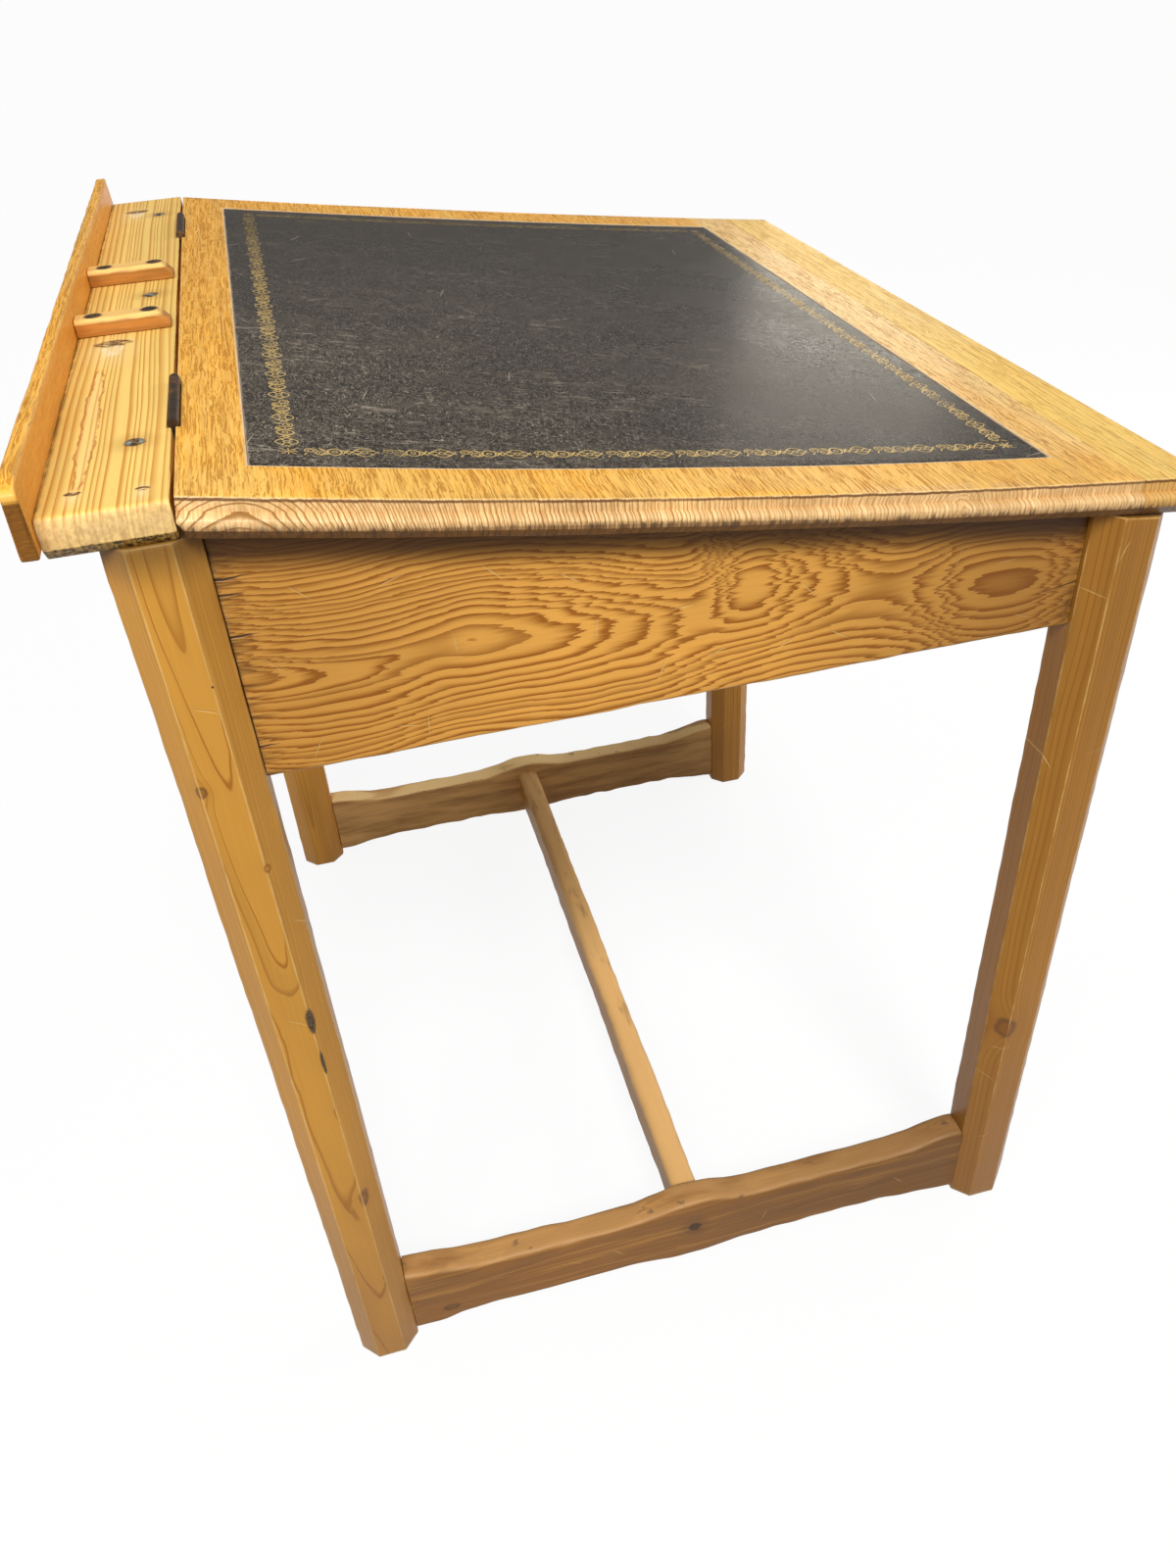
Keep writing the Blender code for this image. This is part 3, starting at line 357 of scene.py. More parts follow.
class Graph:
    """Builds a node tree with short calls. A value may be a socket, a number or a triple."""

    def __init__(self, tree):
        self.tree = tree

    def put(self, kind, **settings):
        """New shader node with its settings."""
        node = self.tree.nodes.new("ShaderNode" + kind)
        for name, value in settings.items():
            setattr(node, name, value)
        return node

    def feed(self, socket, value):
        """Links a socket to another, or sets its own value."""
        if isinstance(value, bpy.types.NodeSocket):
            self.tree.links.new(value, socket)
        elif socket.type == "RGBA":
            socket.default_value = (*tuple(value)[:3], 1.0)
        else:
            socket.default_value = value

    def fill(self, node, *values):
        """Feeds the first sockets of a node in order."""
        for socket, value in zip(node.inputs, values):
            self.feed(socket, value)
        return node

    def give(self, node, **values):
        """Feeds sockets by name; words in a socket's name are joined by an underscore here."""
        for name, value in values.items():
            self.feed(node.inputs[name.replace("_", " ")], value)
        return node

    def math(self, operation, *values):
        """One step of arithmetic."""
        return self.fill(self.put("Math", operation=operation), *values).outputs[0]

    abs, div = partialmethod(math, "ABSOLUTE"), partialmethod(math, "DIVIDE")
    max, min = partialmethod(math, "MAXIMUM"), partialmethod(math, "MINIMUM")
    sub, line = partialmethod(math, "SUBTRACT"), partialmethod(math, "MULTIPLY_ADD")
    invert = partialmethod(math, "SUBTRACT", 1.0)

    def add(self, *values):
        """Sum of all values."""
        return reduce(partial(self.math, "ADD"), values)

    def mul(self, *values):
        """Product of all values."""
        return reduce(partial(self.math, "MULTIPLY"), values)

    def vector(self, operation, *values):
        """One step of vector arithmetic."""
        node = self.fill(self.put("VectorMath", operation=operation), *values)
        return node.outputs["Value" if operation == "LENGTH" else "Vector"]

    def join(self, *parts):
        """Vector of three numbers."""
        return self.fill(self.put("CombineXYZ"), *parts).outputs[0]

    def split(self, vector):
        """Three numbers of a vector."""
        return self.fill(self.put("SeparateXYZ"), vector).outputs

    def noise(self, vector, stretch=(1, 1, 1), detail=2.0, rough=0.5, distort=0.0):
        """Layered noise of 0 to 1 with so many waves a metre along each axis."""
        place = self.vector("MULTIPLY", vector, stretch)
        node = self.put("TexNoise")
        return self.give(node, Vector=place, Scale=1.0, Detail=detail, Roughness=rough, Distortion=distort).outputs[0]

    def swing(self, noise, amount):
        """Noise about nought: amount times (noise - 0.5) times 2."""
        return self.line(noise, 2 * amount, -amount)

    def step(self, value, low, high, start=0.0, end=1.0):
        """Smooth step from start to end while the value goes from low to high."""
        return self.fill(self.put("MapRange", interpolation_type="SMOOTHSTEP"), value, low, high, start, end).outputs[0]

    def fade(self, value, low, high):
        """Smooth step from 1 down to 0."""
        return self.step(value, low, high, 1.0, 0.0)

    def mix(self, share, first, second):
        """Colour that goes by a share from the first to the second."""
        node = self.put("Mix", data_type="RGBA")
        for index, value in ((0, share), (6, first), (7, second)):
            self.feed(node.inputs[index], value)
        return node.outputs[2]

    def tint(self, base, factor):
        """Colour times a grey factor."""
        node = self.put("VectorMath", operation="SCALE")
        self.feed(node.inputs[0], base)
        return self.give(node, Scale=factor).outputs[0]

    def curve(self, value, points):
        """Smooth curve through (in, out) pairs, both within 0 and 1."""
        node = self.put("FloatCurve")
        line = node.mapping.curves[0].points
        line[0].location, line[1].location = points[0], points[-1]
        for x, y in points[1:-1]:
            line.new(x, y)
        node.mapping.update()
        return self.give(node, Value=value).outputs[0]

    def attribute(self, name, output="Vector"):
        """A mesh's own attribute."""
        return self.put("Attribute", attribute_name=name).outputs[output]

    def place(self):
        """Place in the object's own coordinates, which are the desk's."""
        return self.put("TexCoord").outputs["Object"]

    def use(self, name, **values):
        """Places a shared group and feeds it."""
        return self.give(self.put("Group", node_tree=group(name)), **values).outputs

    def blot(self, spot, centre, radius, stretch=(1, 1, 1)):
        """Knot used as a mark: it pushes no rings aside."""
        return self.use("Knot", Vector=spot, Centre=centre, Stretch=stretch, Radius=radius, Push=0.0)

    def bump(self, height, strength, distance):
        """Normal of a rough surface."""
        return self.give(self.put("Bump"), Strength=strength, Distance=distance, Height=height).outputs[0]


# Effects that several materials share

SHARED = {}


def shared(name, **inputs):
    """Keeps a function as the builder of a shared node group with these sockets; a triple makes a vector socket."""
    def keep(build):
        SHARED[name] = build, inputs
        return build

    return keep


def group(name):
    """Node tree of a shared effect, made at its first use."""
    if name in bpy.data.node_groups:
        return bpy.data.node_groups[name]
    build, inputs = SHARED[name]
    tree = bpy.data.node_groups.new(name, "ShaderNodeTree")
    for label, default in inputs.items():
        kind = "NodeSocketVector" if isinstance(default, tuple) else "NodeSocketFloat"
        tree.interface.new_socket(label, in_out="INPUT", socket_type=kind).default_value = default
    g = Graph(tree)
    made = build(g, tree.nodes.new("NodeGroupInput").outputs)
    for label in made:
        tree.interface.new_socket(label, in_out="OUTPUT", socket_type="NodeSocketFloat")
    g.give(tree.nodes.new("NodeGroupOutput"), **made)
    return tree


@shared("Growth rings", Distance=0.0, Spacing=0.004, Early=0.30)
def growth_rings(g, given):
    """Bands of late wood from a distance to the heart: dark grows slowly through each ring and ends in a crisp edge."""
    rings = g.div(given["Distance"], given["Spacing"])
    years = g.give(g.put("TexNoise", noise_dimensions="1D"), W=g.mul(rings, 0.31), Scale=1.0, Detail=1.0)
    rings = g.add(rings, g.swing(years.outputs[0], 0.9))
    part = g.math("FRACT", rings)
    chance = g.give(g.put("TexWhiteNoise", noise_dimensions="1D"), W=g.math("FLOOR", rings))
    luck = chance.outputs["Value"]
    soft = g.step(part, g.line(luck, 0.30, given["Early"]), 0.95)
    crisp = g.fade(part, 0.965, 1.0)
    band = g.mul(g.math("POWER", soft, 1.35), crisp, g.line(luck, 0.4, 0.65))
    return {"Late": band, "Tone": g.mul(g.sub(luck, 0.5), g.step(part, 0.0, 0.2), crisp)}


@shared("Heart distance", Grain=(0, 0, 0), Wander=0.01, Teeth=0.001)
def heart_distance(g, given):
    """Distance to the heart of the tree, strayed by slow noise along the grain and roughened by fibres."""
    own = given["Grain"]
    side = g.vector("LENGTH", g.vector("MULTIPLY", own, (0, 1, 1)))
    stray = g.mul(g.sub(g.noise(own, (3.0, 16, 16), 1.0), 0.5), given["Wander"])
    comb = g.mul(g.sub(g.noise(own, (14, 300, 300)), 0.5), given["Teeth"])
    return {"Distance": g.add(side, stray, comb)}


@shared("Wood fibre", Grain=(0, 0, 0))
def wood_fibre(g, given):
    """Fine streaks along the grain, finer hairs, and slow patches of colour."""
    own = given["Grain"]
    return {
        "Streak": g.noise(own, (9, 520, 520), 3.0, 0.6), "Hair": g.noise(own, (40, 1500, 1500)),
        "Patch": g.noise(own, (4, 14, 14), 3.0),
    }


@shared("Oak pores", Grain=(0, 0, 0))
def oak_pores(g, given):
    """Open pores and pale rays of oak: stretched noise, wavering across the grain, below and above two levels."""
    own = given["Grain"]
    waver = g.mul(g.sub(g.noise(own, (38, 30, 30)), 0.5), 0.005)
    own = g.vector("ADD", own, g.join(0.0, waver, waver))
    dash = g.noise(own, (28, 930, 930), 3.0, 0.64)
    row = g.noise(own, (9, 90, 90), 1.0)
    low, high = g.line(row, 0.16, 0.405), g.line(row, 0.12, 0.445)
    return {"Pore": g.fade(dash, g.sub(low, 0.07), low), "Ray": g.step(dash, high, g.add(high, 0.10))}


@shared("Knot", Vector=(0, 0, 0), Centre=(0, 0, 0), Stretch=(1, 1, 1), Radius=0.004, Push=0.004)
def knot(g, given):
    """Knot: an ellipse of distance from a centre, giving a lift for the rings, a dark core, its rim and a halo."""
    off = g.vector("SUBTRACT", given["Vector"], given["Centre"])
    away = g.div(g.vector("LENGTH", g.vector("MULTIPLY", off, given["Stretch"])), given["Radius"])
    away = g.add(away, g.swing(g.noise(given["Vector"], (160, 160, 160)), 0.25))
    return {
        "Lift": g.mul(g.math("EXPONENT", g.mul(away, away, -0.16)), given["Push"]), "Core": g.fade(away, 0.75, 1.15),
        "Rim": g.mul(g.step(away, 0.55, 0.85), g.fade(away, 1.0, 1.35)), "Halo": g.fade(away, 0.9, 3.2),
    }


@shared("Scratches", Vector=(0, 0, 0), Size=0.03, Width=0.02, Share=0.4)
def scratches(g, given):
    """Short bent scratches: each cell of a scatter has a line at a random angle, and a share of the cells shows it."""
    spot = g.vector("DIVIDE", given["Vector"], g.join(*(given["Size"],) * 3))
    cells = g.give(g.put("TexVoronoi", voronoi_dimensions="2D", feature="F1"), Vector=spot, Scale=1.0)
    luck = g.split(cells.outputs["Color"])
    x, y, _ = g.split(g.vector("SUBTRACT", spot, cells.outputs["Position"]))
    angle = g.mul(luck[0], TAU)
    cos, sin = g.math("COSINE", angle), g.math("SINE", angle)
    run = g.abs(g.add(g.mul(x, cos), g.mul(y, sin)))
    side = g.abs(g.sub(g.mul(y, cos), g.mul(x, sin)))
    bent = g.add(side, g.mul(run, run, 0.25))
    shown = g.fade(luck[1], given["Share"], g.add(given["Share"], 0.08))
    return {"Line": g.mul(g.fade(bent, 0.004, given["Width"]), g.fade(run, 0.08, 0.36), shown)}


@shared("Edge wear", Amount=0.5)
def edge_wear(g, given):
    """Where arrises are rubbed: the piece's own edge mark broken up by noise."""
    rough = g.noise(g.place(), (55, 55, 55), 3.0, 0.65)
    low = g.invert(given["Amount"])
    return {"Wear": g.step(g.mul(g.attribute("arris", "Fac"), g.add(rough, 0.35)), low, g.add(low, 0.35))}


@shared("Grime", Amount=0.3)
def grime(g, given):
    """Patchy dirt: layered noise past a level."""
    spot = g.noise(g.place(), (24, 24, 24), 5.0, 0.68, 0.4)
    low = g.invert(given["Amount"])
    return {"Dirt": g.step(spot, low, g.add(low, 0.28))}


def new_look(name):
    """Empty material with its graph and its shader."""
    look = bpy.data.materials.new(name)
    look.use_nodes = True
    tree = look.node_tree
    return look, Graph(tree), tree.nodes["Principled BSDF"]


def finish_look(g, shader, base, rough, normal, **others):
    """Feeds the shader; a plain value goes straight onto its own socket."""
    g.give(shader, Base_Color=base, Roughness=rough, Normal=normal, **others)


def mixed(first, second, share):
    """Colour part of the way from one to another."""
    return tuple(a + (b - a) * share for a, b in zip(first, second))


def pine_look(name, base, line, spacing, *, wander=0.0, teeth=0.0, strength=0.85, early=0.30, rough=0.42, coat=0.06,
              rub=0.45, dirt=0.25, scratch=0.25, knots=(), field=None, flat=("y", "z"), after=None):
    """Waxed pine: growth rings on the grain's own coordinates, fibres, knots, rubbed edges, scratches and dirt.

    A field may give the rings another distance, flat names the two axes that scratches lie on, and after may change
    the paint, height and shine at the end.
    """
    finish = bpy.context.scene.desk_finish
    look, g, shader = new_look(name)
    own, spot = g.attribute("grain"), g.place()
    fibre = g.use("Wood fibre", Grain=own)
    away = field(g, spot) if field else g.use("Heart distance", Grain=own, Wander=wander, Teeth=teeth)["Distance"]
    found = []
    for centre, stretch, radius, push in knots:
        made = g.use("Knot", Vector=own, Centre=centre, Stretch=stretch, Radius=radius, Push=push)
        away = g.add(away, made["Lift"])
        found.append(made)
    rings = g.use("Growth rings", Distance=away, Spacing=spacing, Early=early)
    late = g.mul(rings["Late"], g.line(fibre["Streak"], 0.9, strength - 0.45))
    paint = g.mix(late, base, line)
    bright = g.add(1.0, g.swing(fibre["Streak"], 0.10), g.swing(fibre["Patch"], 0.16), g.mul(rings["Tone"], 0.10))
    paint = g.tint(paint, bright)
    warm = g.step(g.noise(own, (6, 30, 30)), 0.45, 0.75)
    paint = g.mix(g.mul(warm, 0.25), paint, g.tint(paint, 0.86))
    for made in found:
        paint = g.mix(g.mul(made["Halo"], 0.30), paint, g.mix(0.5, line, base))
        paint = g.mix(g.mul(made["Core"], 0.75), paint, g.mix(0.35, line, finish.dirt))
        paint = g.mix(g.mul(made["Rim"], 0.45), paint, finish.dirt)
    worn = g.use("Edge wear", Amount=rub)
    paint = g.mix(g.mul(worn["Wear"], 0.55), paint, finish.pine_pale)
    axes = dict(zip("xyz", g.split(spot)))
    sheet = g.join(axes[flat[0]], axes[flat[1]], 0.0)
    line_marks = g.use("Scratches", Vector=sheet, Size=0.042, Width=0.016, Share=scratch)["Line"]
    paint = g.mix(g.mul(line_marks, 0.6), paint, finish.pine_pale)
    soil = g.use("Grime", Amount=dirt)["Dirt"]
    paint = g.mix(g.mul(soil, 0.55), paint, g.mix(0.7, line, finish.dirt))
    hair, streak = fibre["Hair"], fibre["Streak"]
    height = g.add(g.mul(hair, 0.16), g.mul(streak, 0.35), g.mul(late, 0.45), g.mul(line_marks, -0.8))
    dull = g.add(g.mul(soil, 0.2), g.mul(line_marks, 0.2))
    shine = g.add(rough, g.swing(streak, 0.06), dull, g.swing(fibre["Patch"], 0.06))
    if after:
        paint, height, shine = after(g, spot, axes, paint, height, shine)
    normal = g.bump(height, 0.55, 0.0006)
    finish_look(g, shader, paint, shine, normal, Coat_Weight=coat, Coat_Roughness=0.28, Specular_IOR_Level=0.22)
    return look


# Pieces

def leg_points(x, y, seed, top, marks):
    """Octagonal leg: a square section with chamfered corners carried upwards, eased at the foot, cut to its top."""
    sizes = bpy.context.scene.desk_sizes
    h, f = LEG_HALF, LEG_FLAT
    eight = np.array([(f, -h), (h, -f), (h, f), (f, h), (-f, h), (-h, f), (-h, -f), (-f, -h)])
    points, out, arris = bar(
        0.0, 1.0, lambda s: eight[None], [sizes.worn_edge] * 8,
        lambda s, u, v: spread_out(x + u, y + v, s), ((0.006, 0.004), (0.0006, 0.0006)), 0.011, 0.004,
    )
    full = top(points[..., 1])
    points[..., 2] *= full
    points = weather(points, out, arris * (points[..., 2] > 0.002), seed, marks)
    points[:7, :, 2] = np.maximum(points[:7, :, 2], 0.0)
    return points, arris


# Rings to the heart up the near back leg
LEG_SPACING = 0.0046
LEG_HEART = (
    (0.0, 7.9), (0.05, 7.45), (0.100, 7.0), (0.150, 6.45), (0.185, 6.0), (0.232, 5.6), (0.30, 5.35), (0.37, 5.15),
    (0.420, 5.0), (0.452, 4.7), (0.477, 4.0), (0.500, 3.75), (0.560, 3.40), (0.590, 3.20), (0.609, 3.0), (0.640, 2.60),
    (0.6876, 2.0), (0.73, 1.6), (0.80, 1.2),
)


def near_leg_figure(g, spot):
    """Ring distance of the near back leg: sqrt(heart(z)^2 + across^2) plus 2.2 times the depth behind the near face."""
    x, y, z = g.split(spot)
    sway = g.swing(g.noise(g.join(0.3, 3.0, g.mul(z, 8.0)), (1, 1, 1), 1.0), 0.0045)
    quick = g.swing(g.noise(spot, (40, 70, 16)), 0.0007)
    tall, most = 0.8, 8
    heart = g.curve(g.mul(z, 1 / tall), [(pz / tall, rings / most) for pz, rings in LEG_HEART])
    heart = g.mul(heart, most * LEG_SPACING)
    across = g.add(y, -0.2775, sway)
    depth = g.max(g.add(x, LEG_X + LEG_HALF), 0.0)
    away = g.math("SQRT", g.add(g.mul(heart, heart), g.mul(across, across)))
    return g.add(away, g.mul(depth, 2.2), quick)


class DESK_OT_legs(bpy.types.Operator):
    """Make the four chamfered pine legs"""

    bl_idname = "desk.legs"
    bl_label = "Legs"

    def execute(self, context):
        finish = context.scene.desk_finish

        def feet(g, spot, axes, paint, height, shine):
            """Paints shade that darkens the leg towards the floor, paints the shelf's shadow on the back legs' tops,
            and marks the torn chip and a small hole of the near leg.
            """
            # Painted shade: the leg grows darker towards the floor.
            low = g.mul(g.fade(axes["z"], 0.0, 0.34), g.add(0.35, g.noise(spot, (30, 30, 9), 3.0)))
            paint = g.mix(g.mul(low, 0.60), paint, finish.low_pine)
            # Painted shadow of the shelf over the back legs' tops, in the dirt colour.
            under = g.mul(g.step(axes["z"], 0.748, 0.777), g.step(axes["y"], 0.1, 0.2))
            paint = g.mix(g.mul(under, 0.62), paint, finish.dirt)
            bead = g.blot(spot, (-0.3773, 0.2677, 0.565), 0.0026, (1, 1, 0.8))
            paint = g.mix(g.mul(bead["Core"], 0.55), paint, (0.62, 0.27, 0.02))
            paint = g.mix(g.mul(bead["Rim"], 0.75), paint, (0.30, 0.10, 0.01))
            for z, deep, size in ((0.4303, 0.28, 0.0034), (0.388, 0.13, 0.0016)):
                bark = g.blot(spot, (-0.3765, 0.2688, z), size, (1, 1, deep))
                crumb = g.step(g.noise(spot, (800, 800, 800)), 0.38, 0.62)
                paint = g.mix(bark["Core"], paint, g.mix(crumb, finish.dirt, (0.16, 0.10, 0.04)))
                height = g.add(height, g.mul(bark["Core"], crumb, 1.6), g.mul(bark["Core"], -2.0))
            torn = g.blot(spot, (-0.3750, 0.3035, 0.700), 0.0060, (1, 1, 0.55))
            splinter = g.step(g.noise(spot, (900, 900, 90)), 0.40, 0.62)
            paint = g.mix(torn["Core"], paint, g.mix(splinter, (0.80, 0.50, 0.24), (0.30, 0.12, 0.05)))
            hole = g.blot(spot, (-0.3773, 0.2695, 0.6938), 0.0011)
            paint = g.mix(hole["Core"], paint, finish.dirt)
            return paint, g.add(height, g.mul(torn["Core"], splinter, 2.0)), g.add(shine, g.mul(torn["Core"], 0.3))

        knots = (
            ((0.6281, -0.062, 0.0112), (0.9, 1, 1), 0.0034, 0.0030),
            ((0.2283, -0.062, -0.0150), (0.60, 1, 1), 0.0052, 0.0024),
            ((6.2397, -0.114, 0.2140), (0.8, 1, 1), 0.0082, 0.0040),
        )

        def leg_look(name, light, redder, spacing, wander, **settings):
            """Pine of one leg, with its own redness, and a lightness that is partly painted light and shade."""
            base = [light * part for part in mixed(finish.pine, (0.74, 0.320, 0.040), redder)]
            return pine_look(
                name, base, finish.pine_line, spacing, wander=wander, teeth=0.0002, rough=0.40, dirt=0.16, scratch=0.36,
                knots=knots, after=feet, **settings,
            )

        # Each leg's lightness is partly painted light and shade: the far back leg is painted lighter in the desk's
        # shadow, the near front leg darker where the light falls off.
        near = leg_look(
            "Near leg pine", 0.81, 0.2, LEG_SPACING, 0.0085, strength=0.80, rub=0.50, early=0.62, field=near_leg_figure
        )
        far = leg_look("Far leg pine", 1.33, 0.5, 0.0025, 0.0085, strength=0.55, rub=0.26, early=0.52)
        front = leg_look("Front leg pine", 0.56, 0.8, 0.0021, 0.0030, strength=0.85, rub=0.38, early=0.40)
        dim = leg_look("Far front leg pine", 0.96, 0.6, 0.0025, 0.0085, strength=0.75, rub=0.26, early=0.45)
        chips = ((-0.3752, 0.3052, 0.700, 0.0062, 0.0022), (-0.377, 0.2755, 0.430, 0.006, 0.0008),
                 (-0.3773, 0.2675, 0.565, 0.005, 0.0006), (-0.376, 0.268, 0.334, 0.008, 0.0007))

        def back_top(y):
            """The back legs carry the shelf, and fall away below the lid."""
            return BACK_TOP - np.maximum(SHELF_FRONT_Y - y, 0) * 0.22

        def front_top(y):
            """The front legs' tops slope with the lid."""
            return under_lid(y, lid_depth(FRONT_INNER_Y))

        for index, (name, x, y, top, look) in enumerate((
            ("leg_back_left", -LEG_X, BACK_LEG_Y, back_top, near), ("leg_back_right", LEG_X, BACK_LEG_Y, back_top, far),
            ("leg_front_right", LEG_X, FRONT_LEG_Y, front_top, dim),
            ("leg_front_left", -LEG_X, FRONT_LEG_Y, front_top, front),
        )):
            points, arris = leg_points(x, y, 11 + index, top, chips if index == 0 else ())
            heart = (x + (0.037, -0.030, -0.034, 0.090)[index], y + (0.0, 0.004, -0.004, -0.200)[index])
            piece = solid(name + "_worn", points, arris, along("z", heart, 2.0 * index), mirror=True)
            settle(piece, look, "frame", "leg_pine", name)
        return {"FINISHED"}


# Rings to the heart, and the heart's height, along the near end apron from front to back
NEAR_SPACING = 0.0046
NEAR_HEART = (
    (-0.27, 11.2), (-0.255, 10.0), (-0.244, 9.0), (-0.2325, 8.05), (-0.211, 7.80), (-0.1913, 8.05), (-0.176, 9.0),
    (-0.1675, 10.0), (-0.154, 11.0), (-0.135, 11.7), (-0.115, 11.6), (-0.099, 11.0), (-0.083, 10.0), (-0.070, 9.0),
    (-0.059, 8.0), (-0.044, 7.3), (-0.029, 7.9), (-0.020, 8.9), (-0.006, 9.3), (0.006, 8.8), (0.020, 8.0), (0.043, 7.0),
    (0.061, 6.0), (0.081, 5.0), (0.104, 4.35), (0.126, 3.95), (0.145, 4.25), (0.165, 4.0), (0.185, 3.45), (0.204, 3.0),
    (0.222, 2.3), (0.2355, 1.7), (0.248, 1.0), (0.27, 0.2),
)
NEAR_LINE = (
    (-0.27, 0.660), (-0.211, 0.660), (-0.15, 0.668), (-0.09, 0.684), (-0.0415, 0.690), (0.0, 0.675), (0.05, 0.678),
    (0.126, 0.686), (0.20, 0.680), (0.27, 0.692),
)


def near_figure(g, spot):
    """Ring distance of the near end apron: sqrt(heart(y)^2 + (z - line(y))^2), with y jogged fibre by fibre.

    Behind its outer face, plain rings run along the board.
    """
    x, y, z = g.split(spot)
    face = g.fade(x, *APRON_FACE)
    plain = g.use("Heart distance", Grain=g.attribute("grain"), Wander=0.014, Teeth=0.0014)["Distance"]
    jog = g.noise(g.join(g.mul(y, 20.0), g.mul(z, 360.0), 0.3), (1, 1, 1), 3.0, 0.66)
    slow = g.noise(g.join(g.mul(y, 11.0), g.mul(z, 30.0), 1.7))
    y = g.add(y, g.swing(jog, 0.0150))
    z = g.add(z, g.swing(slow, 0.0060))
    wide, most, low, tall = 0.54, 16, 0.6, 0.15
    share = g.line(y, 1 / wide, 0.5)
    heart = g.curve(share, [((py + wide / 2) / wide, rings / most) for py, rings in NEAR_HEART])
    heart = g.mul(heart, most * NEAR_SPACING)
    line = g.curve(share, [((py + wide / 2) / wide, (pz - low) / tall) for py, pz in NEAR_LINE])
    line = g.line(line, tall, low)
    rise = g.sub(z, line)
    rise = g.mul(rise, g.step(rise, -0.006, 0.012, 1.10, 1.40))
    figure = g.math("SQRT", g.add(g.mul(heart, heart), g.mul(rise, rise)))
    return g.add(g.mul(figure, face), g.mul(plain, g.invert(face)))


class DESK_OT_aprons(bpy.types.Operator):
    """Make the four aprons between the legs"""

    bl_idname = "desk.aprons"
    bl_label = "Aprons"

    def execute(self, context):
        finish = context.scene.desk_finish
        sizes = context.scene.desk_sizes

        def dirt_and_painted_shade(g, spot, axes, paint, height, shine):
            """Dirt by the legs, painted shadow under the lid, painted shade that darkens and browns the board towards
            its ends, the cracks at the back end and the long scratch at the front.
            """
            ends = g.add(g.step(axes["y"], 0.236, 0.2555), g.fade(axes["y"], -0.2635, -0.250))
            rough = g.noise(spot, (60, 14, 260), 3.0, 0.6)
            paint = g.mix(g.mul(ends, g.step(rough, 0.42, 0.68), 0.75), paint, finish.dirt)
            # Painted shade: the board darkens and browns towards both ends, most at the front.
            painted_falloff = g.mul(g.step(axes["y"], -0.26, -0.05, 0.60, 1.0), g.step(axes["y"], 0.06, 0.25, 1.0, 0.80))
            paint = g.tint(paint, painted_falloff)
            brown = g.add(g.step(axes["y"], -0.26, -0.05, 0.22, 0.0), g.step(axes["y"], 0.06, 0.25, 0.0, 0.16))
            paint = g.mix(brown, paint, (0.34, 0.115, 0.010))
            # Painted shadow of the lid's nose on the top of the apron's outer face, in dark brown.
            down = g.sub(g.line(axes["y"], math.tan(LID_SLOPE), under_lid(0.0, rest)), axes["z"])
            shade = g.mul(g.fade(down, 0.008, 0.026), g.add(0.62, g.mul(rough, 0.4)), g.fade(axes["x"], *APRON_FACE))
            paint = g.mix(shade, paint, (0.075, 0.027, 0.004))
            for y, z, size, thin in ((0.2541, 0.7467, 0.020, 0.0011), (0.2529, 0.7127, 0.016, 0.0010),
                                     (0.252, 0.7375, 0.013, 0.0006), (0.253, 0.641, 0.012, 0.0007)):
                run = g.step(axes["y"], y - size, y)
                bend = g.swing(g.noise(spot, (20, 90, 20), 1.0), 0.0014)
                side = g.abs(g.sub(g.add(axes["z"], bend), z))
                crack = g.fade(side, g.mul(run, thin * 0.4), g.mul(run, thin))
                crack = g.mul(crack, g.step(run, 0.0, 0.2))
                paint = g.mix(g.mul(crack, 0.95), paint, finish.dirt)
                height = g.add(height, g.mul(crack, -2.5))
            slope = g.line(axes["y"], -0.165, 0.6072)
            side = g.abs(g.sub(axes["z"], slope))
            scar = g.mul(g.fade(side, 0.0002, 0.0007), g.fade(axes["y"], -0.26, -0.225))
            paint = g.mix(g.mul(scar, 0.8), paint, finish.dirt)
            return paint, g.add(height, g.mul(scar, -1.5)), shine

        edges = [sizes.worn_edge, sizes.worn_edge, PLAIN_EDGE, PLAIN_EDGE]
        rest = LID_THICK + LID_CUP + GAP
        near = pine_look(
            "Near apron pine", (0.79, 0.384, 0.074), finish.pine_line, NEAR_SPACING, strength=1.15, early=0.06, rub=0.4,
            dirt=0.16, scratch=0.45, field=near_figure, after=dirt_and_painted_shade,
        )
        plain = pine_look(
            "Apron pine", finish.pine, finish.pine_line, 0.0046, wander=0.014, teeth=0.0014, rough=0.44, rub=0.4,
            dirt=0.24, flat=("x", "z"),
        )
        front, back = FRONT_INNER_Y + GAP, BACK_INNER_Y - GAP
        for index, (name, x, look) in enumerate((("apron_left", -APRON_X, near), ("apron_right", APRON_X, plain))):
            shape = bar(
                front, back, lambda s: rectangle(-APRON_HALF, APRON_HALF, APRON_BOTTOM, under_lid(s, rest)), edges,
                beside(x), SAWN_ENDS, 0.009,
            )
            grain = along("y", (x + 0.045, 0.68), 3.0 * index + 1.0)
            timber(name + "_board", shape, grain, 31 + index, look, "apron_pine", name)
        end = INNER_X - GAP
        below = lid_depth(FRONT_APRON_Y + APRON_HALF)
        for index, (name, y) in enumerate((("apron_front", FRONT_APRON_Y), ("apron_back", BACK_APRON_Y))):
            tops = [under_lid(y + side, below) if index == 0 else BACK_TOP for side in (APRON_HALF, -APRON_HALF)]
            h, low = APRON_HALF, APRON_BOTTOM
            box = ring_of((-h, low), (h, low), (h, tops[0]), (-h, tops[1]))
            shape = bar(-end, end, lambda s: box, edges, lambda s, u, v: spread_out(s, y + u, v), SAWN_ENDS)
            grain = along("x", (y + (0.05, -0.045)[index], 0.69), 11.0 + 3 * index)
            timber(name + "_board", shape, grain, 41 + index, plain, "apron_pine", name)
        return {"FINISHED"}


